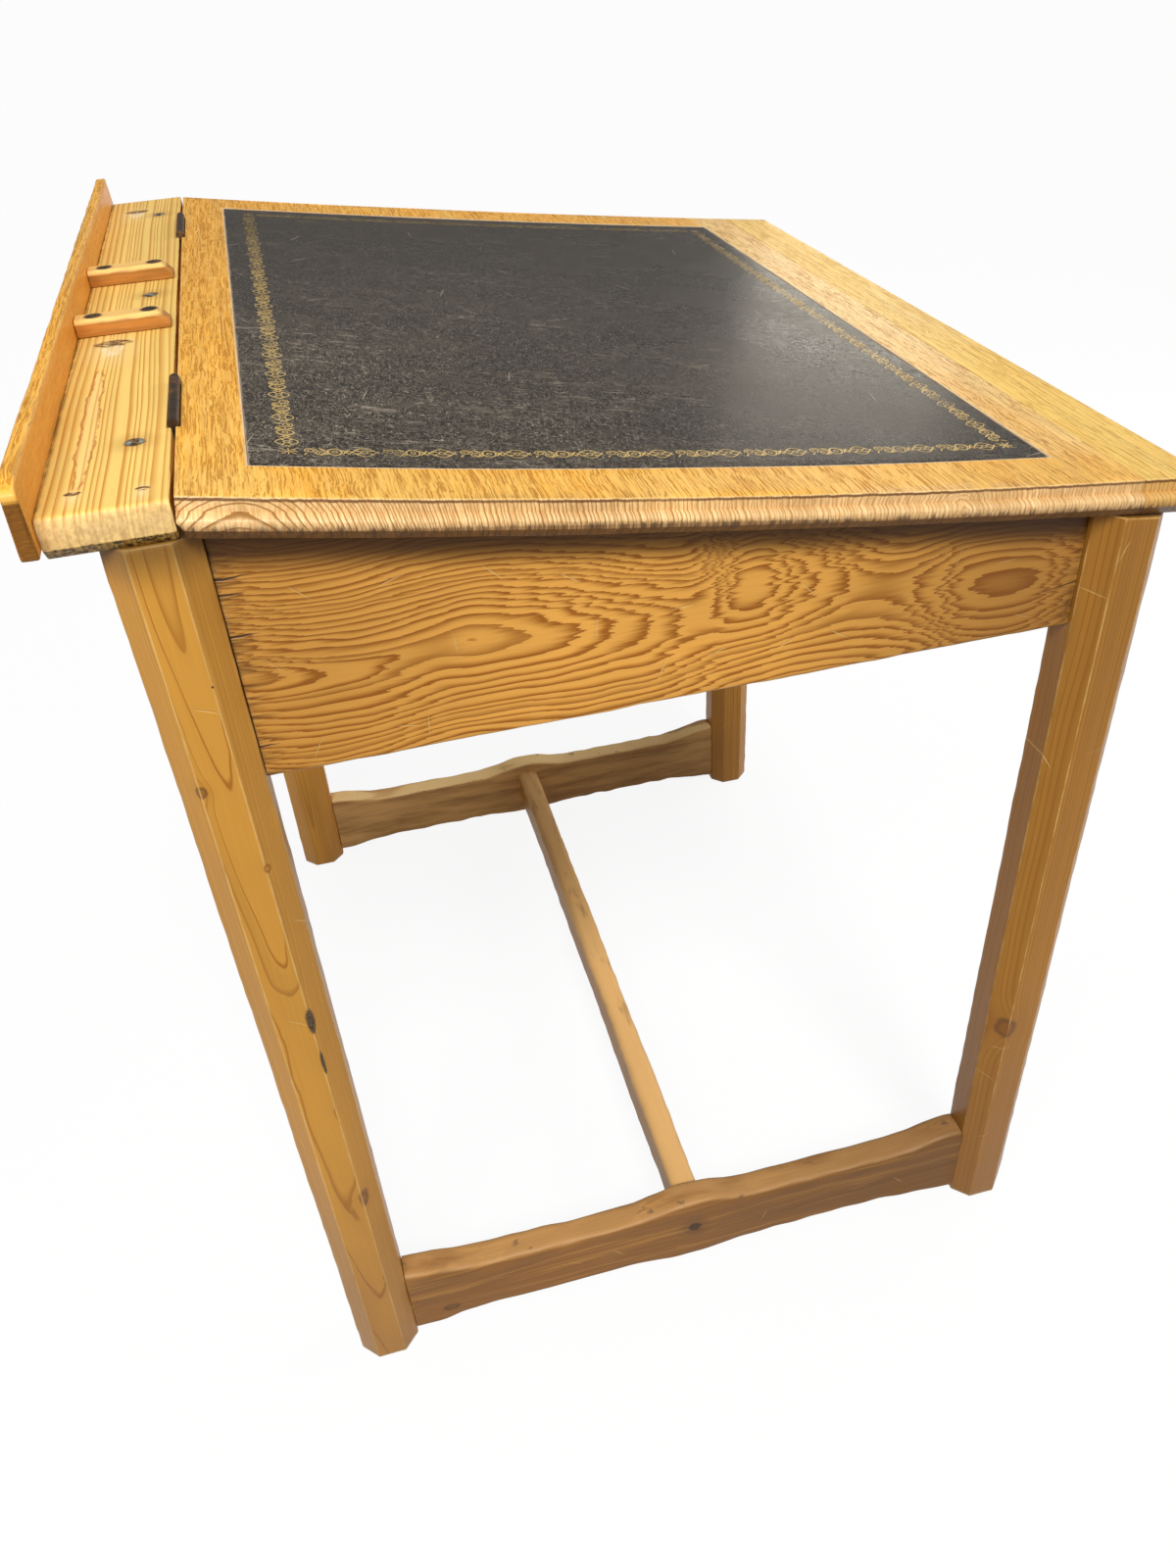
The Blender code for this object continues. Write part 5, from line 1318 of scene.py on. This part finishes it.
def border_paths(repeat, half):
    """One repeat of the scroll border as (paths, points, 3): distance along, distance across and share of full width.

    Along one repeat lie a pointed oval, whose two bows v = 0.95 sin(angle) run on and cross, with a rosette in it,
    two crossed leaves, a plain ring, and a spray of two curls with leaves.
    """
    t = np.linspace(0, 1, 19)
    leaf = 1.35 * np.sin(math.pi * t) + 0.2
    ring = TAU * t
    round_ = half / repeat
    rows = []

    def draw(u, v, width):
        """Adds a path from its shares of the repeat and of the half width."""
        rows.append(spread_out(repeat * u, half * v, width))

    for side in (-1, 1):
        draw(0.01 + 0.38 * t, side * 0.95 * np.sin(math.pi * (1.2 * t - 0.1)), 1.0)
        draw(0.38 + 0.11 * t, side * (0.62 - 1.24 * t), leaf)
        draw(0.66 + 0.10 * t, side * 0.85 * t, leaf)
        for way in (-1, 1):
            draw(0.20 + round_ * way * (0.30 + 0.55 * t), side * (0.20 + 0.32 * t), leaf)
        curl, turn = 0.62 - 0.46 * t, math.pi * (1.0 - 3.2 * t)
        middle = 0.815 + 0.065 * side
        draw(middle + round_ * curl * np.cos(turn), side * (0.26 + 0.9 * curl * np.sin(turn)), 1.1 - 0.3 * t)
        draw(middle + round_ * 0.25 * side + 0.05 * t, side * (-0.30 - 0.55 * t), leaf)
    draw(0.20 + round_ * 0.27 * np.cos(ring), 0.27 * np.sin(ring), 1.0)
    draw(0.575 + 0.088 * np.cos(ring), 0.74 * np.sin(ring), 1.25)
    draw(0.575 + 0.030 * np.cos(ring), 0.22 * np.sin(ring), 0.8)
    return np.stack(rows)


class DESK_OT_leather(bpy.types.Operator):
    """Make the leather panel and its gilt border"""

    bl_idname = "desk.leather"
    bl_label = "Leather and gilding"

    def execute(self, context):
        sizes, finish = context.scene.desk_sizes, context.scene.desk_finish

        def edged(start, end, count):
            """Even places from start to end, with a closer pair at both ends."""
            even = np.linspace(start + 0.002, end - 0.002, count)
            return np.concatenate([[start, start + 0.0004], even, [end - 0.0004, end]])

        x, line = edged(-LEATHER_X, LEATHER_X, 72)[:, None], edged(LEATHER_BACK, LEATHER_FRONT, 54)[None]
        rim = np.minimum(np.minimum(LEATHER_X - np.abs(x), line - LEATHER_BACK), LEATHER_FRONT - line)
        top = -LEATHER_SET - 0.0004 * np.exp(-rim / 0.0004)
        flat = spread_out(x, line, 0 * top)
        top = top + 0.00005 * ripple(flat, 0.06, 81)
        away = np.concatenate([np.broadcast_to(line, top.shape), np.broadcast_to(line[:, ::-1], top.shape)], 1)
        up = np.concatenate([top, 0 * top - LEATHER_SET - LEATHER_THICK], 1)
        points = on_lid(x, away, up)
        edge = np.concatenate([np.exp(-rim / 0.0015), 0 * rim], 1)
        own = spread_out(x, away, 0 * up)
        sheet = solid("leather_hide", points, edge, lambda given: own)
        settle(sheet, leather_look(), "lid", "hide", "leather_panel")

        half = sizes.border_width / 2
        low_a, high_a, side_x = 0.0580, 0.4985, 0.3085
        runs = (
            ((-side_x, low_a), (1, 0), 2 * side_x), ((side_x, low_a), (0, 1), high_a - low_a),
            ((side_x, high_a), (-1, 0), 2 * side_x), ((-side_x, high_a), (0, -1), high_a - low_a),
        )
        ribbons = []
        for (x0, a0), (dx, da), run in runs:
            count = int(round((run - 2 * half) / sizes.border_repeat))
            repeat = (run - 2 * half) / count
            paths = border_paths(repeat, half)
            starts = half + repeat * np.arange(count)
            paths = np.tile(paths, (count, 1, 1)) + np.repeat(starts, len(paths))[:, None, None] * np.array((1, 0, 0))
            t, v, width = np.moveaxis(paths, -1, 0)
            ribbons.append(np.stack([x0 + dx * t - da * v, a0 + da * t + dx * v, width], -1))
        bow = np.linspace(0, 1, 19)
        for x0, a0 in ((-side_x, low_a), (side_x, low_a), (side_x, high_a), (-side_x, high_a)):
            turn = TAU * np.arange(8)[:, None] / 8
            reach = half * 1.05 * bow * np.where(np.arange(8) % 2, 1.0, 0.8)[:, None]
            width = 1.5 * np.sin(math.pi * bow) + 0.1
            ribbons.append(spread_out(x0 + reach * np.cos(turn), a0 + reach * np.sin(turn), width))
        paths = np.concatenate(ribbons)
        flat = paths[..., :2]
        step = np.gradient(flat, axis=1)
        step /= np.linalg.norm(step, axis=-1, keepdims=True) + 1e-12
        side = np.stack([-step[..., 1], step[..., 0]], -1) * (paths[..., 2:] * sizes.border_line / 2)
        rows = [(flat + side, 0.00002), (flat, 0.00012), (flat - side, 0.00002), (flat, -0.0002)]
        points = np.stack([on_lid(place[..., 0], place[..., 1], up - LEATHER_SET) for place, up in rows], 2)
        k, n, m = points.shape[:3]
        p, i, j = np.ogrid[:k, :n - 1, :m]
        start = (p * n + i) * m
        after = (j + 1) % m
        quads = np.stack(np.broadcast_arrays(start + j, start + after, start + m + after, start + m + j), -1)
        first = np.arange(k)[:, None] * n * m + np.arange(m)
        caps = first.tolist() + (first + (n - 1) * m).tolist()
        own = np.repeat(np.concatenate([flat, 0 * flat[..., :1]], -1)[:, :, None], m, 2)
        foil = surface(
            "gilt_border", points.reshape(-1, 3), quads.reshape(-1, 4).tolist() + caps, np.zeros(k * n * m),
            own.reshape(-1, 3), 60,
        )
        look, g, shader = new_look("Gilding")
        own = g.attribute("grain")
        worn = g.step(g.noise(own, (240, 240, 1), 4.0, 0.7), 0.54, 0.70)
        patch = g.noise(own, (22, 22, 1))
        lost = g.mul(worn, g.step(patch, 0.38, 0.66))
        paint = g.mix(g.noise(own, (600, 600, 1)), finish.gilding, g.tint(finish.gilding[:], 0.70))
        paint = g.tint(paint, g.step(g.split(own)[0], 0.0, 0.32, 1.0, 0.42))
        paint = g.mix(g.mul(lost, 0.85), paint, (0.10, 0.085, 0.055))
        finish_look(
            g, shader, paint, g.add(0.36, g.mul(lost, 0.25)), g.bump(g.noise(own, (900, 900, 1)), 0.3, 0.0002),
            Metallic=g.step(lost, 0.0, 0.8, 0.30, 0.05),
        )
        settle(foil, look, "lid", "hide")
        return {"FINISHED"}


def slotted_head(centre, axis, radius, turn, proud=0.0003, deep=0.0026):
    """Slotted screw head: chords parallel to the slot, each a ring of crown, slot floor and underside.

    The crown is a shallow dome, height = proud (1 - 0.9 r^2), and drops to the slot's floor between the slot's walls.
    """
    slot = bpy.context.scene.desk_sizes.slot_width / 2
    half = np.concatenate([[slot - 2e-5, slot + 2e-5], np.sin(np.linspace(0.25, 1.5, 7)) * radius])
    rows = np.concatenate([-half[::-1], half])[:, None]
    chord = np.sqrt(radius ** 2 - rows ** 2)
    share = np.linspace(-1, 1, 11)[None]
    u = chord * share
    dome = proud * (1 - 0.9 * (u ** 2 + rows ** 2) / radius ** 2)
    dome = np.where(np.abs(rows) < slot, -0.0011, dome)
    u = np.concatenate([u, u[:, ::-1]], 1)
    w = np.concatenate([dome, 0 * dome - deep], 1)
    v = np.broadcast_to(rows, u.shape)
    cos, sin = math.cos(turn), math.sin(turn)
    p, q = u * cos - v * sin, u * sin + v * cos
    face = {"z": (p, q, w), "y": (-p, w, q), "-x": (-w, p, q), "x": (w, -p, q)}[axis]
    return np.stack(face, -1) + np.array(centre)


class DESK_OT_hardware(bpy.types.Operator):
    """Make the slotted screws and finish the hinges"""

    bl_idname = "desk.hardware"
    bl_label = "Screws and hinges"

    def execute(self, context):
        finish = context.scene.desk_finish
        look, g, shader = new_look("Old iron")
        spot = g.place()
        patch = g.noise(spot, (130, 130, 130), 4.0, 0.62)
        pit = g.noise(spot, (900, 900, 900))
        rust = g.step(patch, 0.46, 0.68)
        paint = g.mix(rust, finish.iron, (0.16, 0.070, 0.026))
        paint = g.tint(paint, g.add(0.8, g.mul(pit, 0.5)))
        worn = g.use("Edge wear", Amount=0.55)["Wear"]
        paint = g.mix(g.mul(worn, 0.35), paint, (0.26, 0.20, 0.15))
        shine = g.add(0.44, g.mul(rust, 0.25), g.swing(pit, 0.08))
        normal = g.bump(g.add(pit, g.mul(patch, 0.8)), 0.4, 0.0003)
        finish_look(g, shader, paint, shine, normal, Metallic=g.step(rust, 0.0, 1.0, 0.75, 0.15))
        heads = [("shelf_screw_" + side, (x, SHELF_SCREW_Y, SHELF_TOP), "z", 0.0054, turn)
                 for side, x, turn in zip(("left", "middle", "right"), SHELF_SCREW_X, (0.5, 1.2, 2.0))]
        heads += [("pen_rest_screw_%s_%s" % (side, end), (x, y, SHELF_TOP + REST_HIGH), "z", 0.0049, turn)
                  for side, x, shift in (("left", -REST_X, 0.3), ("right", REST_X, 1.7))
                  for end, y, turn in zip(("back", "front"), REST_SCREW_Y, (shift, shift + 0.9))]
        heads += [("gallery_screw_" + side, (x, BACK_Y, GALLERY_SCREW_Z), "y", 0.0033, turn)
                  for side, x, turn in (("left", -0.26, 0.2), ("middle", 0.0, 0.7), ("right", 0.26, 1.9))]
        heads += [("stretcher_screw_left", (-LEG_X - STRETCHER_HALF, RAIL_Y, STRETCHER_SCREW_Z), "-x", 0.0049, 0.4),
                  ("stretcher_screw_right", (LEG_X + STRETCHER_HALF, RAIL_Y, STRETCHER_SCREW_Z), "x", 0.0049, 1.1)]
        steel = look.copy()
        steel.name = "Rubbed steel"
        g = Graph(steel.node_tree)
        shader = steel.node_tree.nodes["Principled BSDF"]
        bright = g.step(g.noise(g.place(), (160, 160, 160), 3.0), 0.40, 0.60)
        paint = shader.inputs["Base Color"].links[0].from_socket
        g.feed(shader.inputs["Base Color"], g.mix(bright, paint, (0.42, 0.40, 0.33)))
        for name, centre, axis, radius, turn in heads:
            points = slotted_head(centre, axis, radius, turn)
            half = points.shape[1] // 2
            edge = np.zeros(points.shape[:2])
            edge[:, :half] = (np.linalg.norm(points[:, :half] - np.array(centre), axis=-1) / radius) ** 6
            piece = solid(name + "_head", points, edge, lambda given: given)
            settle(piece, steel if name.startswith("shelf") else look, "frame", "screw_steel", name)
        hinge = look.copy()
        hinge.name = "Hinge iron"
        for name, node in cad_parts.items():
            if name.startswith("hinge"):
                clothe(node, hinge)
        return {"FINISHED"}


class DESK_OT_stretchers(bpy.types.Operator):
    """Make the shaped end stretchers and the centre rail"""

    bl_idname = "desk.stretchers"
    bl_label = "Stretchers"

    def execute(self, context):
        finish, sizes = context.scene.desk_finish, context.scene.desk_sizes
        front, back = FRONT_INNER_Y + GAP, BACK_INNER_Y - GAP

        def swell(away, run):
            """Swelling: half a cosine wave from 1 at no distance to 0 at the end of its run."""
            return 0.5 + 0.5 * np.cos(math.pi * np.minimum(np.abs(away) / run, 1))

        def section(y):
            """Stretcher section: its top and underside swell at both ends and in the middle."""
            end = np.maximum(swell(y - front, 0.07), swell(back - y, 0.07))
            middle = swell(y - RAIL_Y, 0.062)
            low = 0.0175 - 0.0070 * end - 0.0050 * middle
            return rectangle(-STRETCHER_HALF, STRETCHER_HALF, low, 0.080 + 0.0105 * end + 0.0095 * middle)

        def dirt_and_painted_light(g, spot, axes, paint, height, shine):
            """Floor dirt in smears, a rubbed pale top where feet rested, painted light on the far stretcher, painted
            shade towards the front, and painted shade round the screw.
            """
            smear = g.noise(spot, (30, 7, 60), 4.0, 0.65)
            paint = g.mix(g.step(smear, 0.46, 0.74, 0.0, 0.36), paint, (0.15, 0.072, 0.022))
            gold = g.step(g.noise(spot, (70, 8, 190), 3.0, 0.6, 0.4), 0.50, 0.72)
            paint = g.mix(g.mul(gold, 0.42), paint, (0.60, 0.30, 0.075))
            facing = g.split(g.put("NewGeometry").outputs["Normal"])[2]
            rubbed = g.mul(g.step(facing, 0.35, 0.85), g.step(g.noise(spot, (40, 8, 40), 3.0), 0.22, 0.50))
            far = g.step(axes["x"], 0.30, 0.33)
            pale = g.mix(far, (0.62, 0.345, 0.125), (0.95, 0.68, 0.31))
            paint = g.mix(g.mul(rubbed, g.line(far, 0.35, 0.55)), paint, pale)
            # Painted light: the far stretcher's faces are painted a lighter drab brown and brightened, in the desk's
            # shadow; both stretchers are painted darker towards the front, as painted shade.
            drab = g.mix(g.step(smear, 0.35, 0.65), (0.66, 0.375, 0.135), (0.35, 0.18, 0.062))
            paint = g.mix(g.mul(far, g.invert(rubbed), 0.85), paint, drab)
            paint = g.tint(paint, g.add(g.mul(far, 0.3), g.step(axes["y"], -0.25, 0.05, 0.70, 1.0)))
            stain = g.mul(g.step(g.noise(spot, (90, 50, 90), 3.0, 0.6), 0.62, 0.72), g.step(facing, 0.2, 0.6))
            paint = g.mix(g.mul(stain, 0.6), paint, (0.07, 0.055, 0.040))
            # Painted shade: a dark ring where the screw head sits in its hole, and a faint darker halo round it.
            screw = g.blot(spot, (-LEG_X - STRETCHER_HALF, RAIL_Y, STRETCHER_SCREW_Z), 0.0062)
            paint = g.mix(g.mul(screw["Core"], 0.85), paint, finish.dirt)
            paint = g.mix(g.mul(screw["Halo"], 0.30), paint, finish.dirt)
            return paint, height, g.add(shine, g.mul(rubbed, -0.06))

        look = pine_look(
            "Stretcher pine", finish.low_pine, (0.22, 0.100, 0.030), 0.0042, wander=0.012, teeth=0.0014, strength=0.60,
            rough=0.56, coat=0.05, rub=0.14, dirt=0.24, scratch=0.10,
            knots=(((0.222 + 41.0, -0.047, -0.040), (0.6, 1, 1), 0.004, 0.004),), after=dirt_and_painted_light,
        )
        for index, (side, x) in enumerate((("left", -LEG_X), ("right", LEG_X))):
            shape = bar(front, back, section, [0.003, 0.003, 0.0055, 0.0055], beside(x), SAWN_ENDS, 0.007, 0.005)
            grain = along("y", (x + 0.034, 0.07), 41.0 + 3 * index)
            knocks = (
                (x - 0.010, 0.18, 0.078, 0.012, 0.0018), (x + 0.009, 0.09, 0.078, 0.015, 0.0014),
                (x - 0.008, -0.14, 0.078, 0.018, 0.0016),
            )
            name = "stretcher_" + side
            timber(name + "_bar", shape, grain, 91 + index, look, "stretcher_pine", name, knocks, 2.2)

        def rail_top(g, spot, axes, paint, height, shine):
            """The rail's top is painted pale, as painted light; its sides keep the dirt."""
            # Painted light: the rail's top is painted paler.
            top = g.step(g.add(axes["z"], g.swing(g.noise(spot, (14, 90, 60), 3.0), 0.006)), 0.066, 0.078)
            paint = g.mix(g.mul(top, 0.90), paint, (0.74, 0.44, 0.165))
            soiled = g.step(g.noise(spot, (16, 70, 70), 4.0, 0.65), 0.55, 0.74)
            paint = g.mix(g.mul(soiled, 0.50), paint, (0.16, 0.085, 0.030))
            return paint, height, shine

        look = pine_look(
            "Rail pine", mixed(finish.low_pine, finish.pine, 0.35), (0.26, 0.12, 0.036), 0.0040, wander=0.010,
            teeth=0.001, strength=0.55, rough=0.5, coat=0.05, rub=0.4, dirt=0.24, flat=("x", "y"), after=rail_top,
        )
        end = LEG_X - STRETCHER_HALF - GAP
        shape = bar(
            -end, end, lambda s: rectangle(RAIL_Y - 0.012, RAIL_Y + 0.012, 0.038, 0.079),
            [0.0025, 0.0025, 0.0065, 0.0065], spread_out, SAWN_ENDS, 0.009, 0.005,
        )
        grain = along("x", (RAIL_Y + 0.02, 0.03), 51.0)
        timber("centre_rail_bar", shape, grain, 97, look, "stretcher_pine", "centre_rail", amount=1.8)
        return {"FINISHED"}


class DESK_OT_stage(bpy.types.Operator):
    """Set the floor, the soft light and the camera of the photograph's view"""

    bl_idname = "desk.stage"
    bl_label = "Stage"

    def execute(self, context):
        scene = context.scene
        scene.view_settings.view_transform = "Standard"
        u, v = np.meshgrid(np.linspace(-1, 1, 9), np.linspace(-1, 1, 9))
        points = FLOOR_REACH * spread_out(u, v, 0 * u).reshape(-1, 3)
        i, j = np.mgrid[:8, :8]
        faces = np.stack([i * 9 + j, i * 9 + j + 1, (i + 1) * 9 + j + 1, (i + 1) * 9 + j], -1).reshape(-1, 4)
        mesh = bpy.data.meshes.new("pale_floor")
        mesh.from_pydata(points.tolist(), [], faces.tolist())
        floor = bpy.data.objects.new("pale_floor", mesh)
        scene.collection.objects.link(floor)
        look, g, shader = new_look("Pale floor")
        path = g.put("LightPath").outputs
        seen = g.max(g.max(path["Is Camera Ray"], path["Is Glossy Ray"]), path["Is Transmission Ray"])
        pale = g.add(0.985, g.mul(g.noise(g.place(), (3, 3, 3)), 0.03))
        paint = g.tint(g.mix(seen, (0.27, 0.25, 0.23), (0.94, 0.94, 0.94)), pale)
        g.give(shader, Base_Color=paint, Roughness=0.9, Specular_IOR_Level=0.0)
        both = g.fill(g.put("MixShader"), g.mul(seen, 0.90), shader.outputs[0], g.put("Emission").outputs[0])
        g.give(look.node_tree.nodes["Material Output"], Surface=both.outputs[0])
        mesh.materials.append(look)

        world = scene.world or bpy.data.worlds.new("Studio")
        scene.world = world
        world.use_nodes = True
        g = Graph(world.node_tree)
        path = g.put("LightPath").outputs
        seen = g.max(path["Is Camera Ray"], path["Is Transmission Ray"])
        strength = g.line(seen, 1 - AMBIENT, AMBIENT)
        g.give(world.node_tree.nodes["Background"], Color=(1.0, 1.0, 1.0), Strength=strength)

        def hang(name, data, *columns):
            """Object turned to its right, upward and backward directions and set at its place."""
            holder = bpy.data.objects.new(name, data)
            scene.collection.objects.link(holder)
            turn = np.eye(4)
            turn[:3] = np.stack(columns, -1)
            holder.matrix_world = mathutils.Matrix(turn.tolist())
            return holder

        def lamp(name, kind, energy, towards, place=(0.0, 0.0, 3.0), **settings):
            """Lamp at a place whose light comes from the given direction."""
            light = bpy.data.lights.new(name, kind)
            light.energy = energy
            for key, value in settings.items():
                setattr(light, key, value)
            way = np.array(towards, float)
            way /= np.linalg.norm(way)
            side = np.cross((0.0, 0.0, 1.0), way)
            side /= np.linalg.norm(side)
            hang(name, light, side, np.cross(way, side), way, place).visible_camera = False

        lamp("key_sky", "SUN", 2.1, (-0.60, -0.04, 0.80), angle=0.28)
        for name, energy, place, aim, wide, high, tone in (
            ("near_window", 9.0, (-1.2, 0.7, 1.6), (-0.36, 0.05, 0.62), 0.42, 0.42, (1.0, 1.0, 1.0)),
            ("front_fill", 17.0, (0.2, -2.2, 1.35), (0.0, 0.1, 0.8), 2.0, 1.2, (1.0, 1.0, 1.0)),
            ("far_sheen", 2.3, (1.7, -1.2, 1.05), (-0.1, -0.2, 0.74), 0.5, 0.3, (1.0, 0.93, 0.80)),
        ):
            towards = np.subtract(place, aim)
            lamp(name, "AREA", energy, towards, place, shape="RECTANGLE", size=wide, size_y=high, color=tone)

        view = bpy.data.cameras.new("photo_view")
        view.sensor_fit, view.sensor_height, view.sensor_width = "VERTICAL", 36.0, 27.0
        view.lens = FOCAL_PIXELS / PHOTO_HIGH * view.sensor_height
        view.shift_x = (PHOTO_WIDE / 2 - CENTRE_PIXELS[0]) / PHOTO_HIGH
        view.shift_y = (CENTRE_PIXELS[1] - PHOTO_HIGH / 2) / PHOTO_HIGH
        view.clip_end = 200.0
        yaw, pitch, roll = CAMERA_YAW, CAMERA_PITCH, CAMERA_ROLL
        forward = np.array((math.cos(pitch) * math.cos(yaw), math.cos(pitch) * math.sin(yaw), math.sin(pitch)))
        right = np.array((math.sin(yaw), -math.cos(yaw), 0.0))
        up = np.cross(right, forward)
        level, upright = math.cos(roll) * right + math.sin(roll) * up, math.cos(roll) * up - math.sin(roll) * right
        scene.camera = hang("photo_view", view, level, upright, -forward, CAMERA_PLACE)
        return {"FINISHED"}


class DESK_PT_panel(bpy.types.Panel):
    """Lists the desk's pieces, sizes and colours"""

    bl_idname = "DESK_PT_panel"
    bl_label = "Writing desk"
    bl_space_type = "VIEW_3D"
    bl_region_type = "UI"
    bl_category = "Desk"

    def draw(self, context):
        for step in STEPS:
            self.layout.operator(step.bl_idname)
        for holder in (context.scene.desk_sizes, context.scene.desk_finish):
            for name in holder.__annotations__:
                self.layout.prop(holder, name)


STEPS = (
    DESK_OT_legs, DESK_OT_aprons, DESK_OT_well, DESK_OT_shelf, DESK_OT_pen_rests, DESK_OT_lid, DESK_OT_leather,
    DESK_OT_hardware, DESK_OT_stretchers, DESK_OT_stage,
)
CLASSES = (DeskSizes, DeskFinish, *STEPS, DESK_PT_panel)


def register():
    for kind in CLASSES:
        bpy.utils.register_class(kind)
    bpy.types.Scene.desk_sizes = bpy.props.PointerProperty(type=DeskSizes)
    bpy.types.Scene.desk_finish = bpy.props.PointerProperty(type=DeskFinish)


def unregister():
    del bpy.types.Scene.desk_sizes, bpy.types.Scene.desk_finish
    for kind in reversed(CLASSES):
        bpy.utils.unregister_class(kind)


def main():
    """Registers the desk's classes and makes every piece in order."""
    register()
    bpy.ops.desk.legs()
    bpy.ops.desk.aprons()
    bpy.ops.desk.well()
    bpy.ops.desk.shelf()
    bpy.ops.desk.pen_rests()
    bpy.ops.desk.lid()
    bpy.ops.desk.leather()
    bpy.ops.desk.hardware()
    bpy.ops.desk.stretchers()
    bpy.ops.desk.stage()
    bpy.context.view_layer.update()


if __name__ == "__main__":
    main()
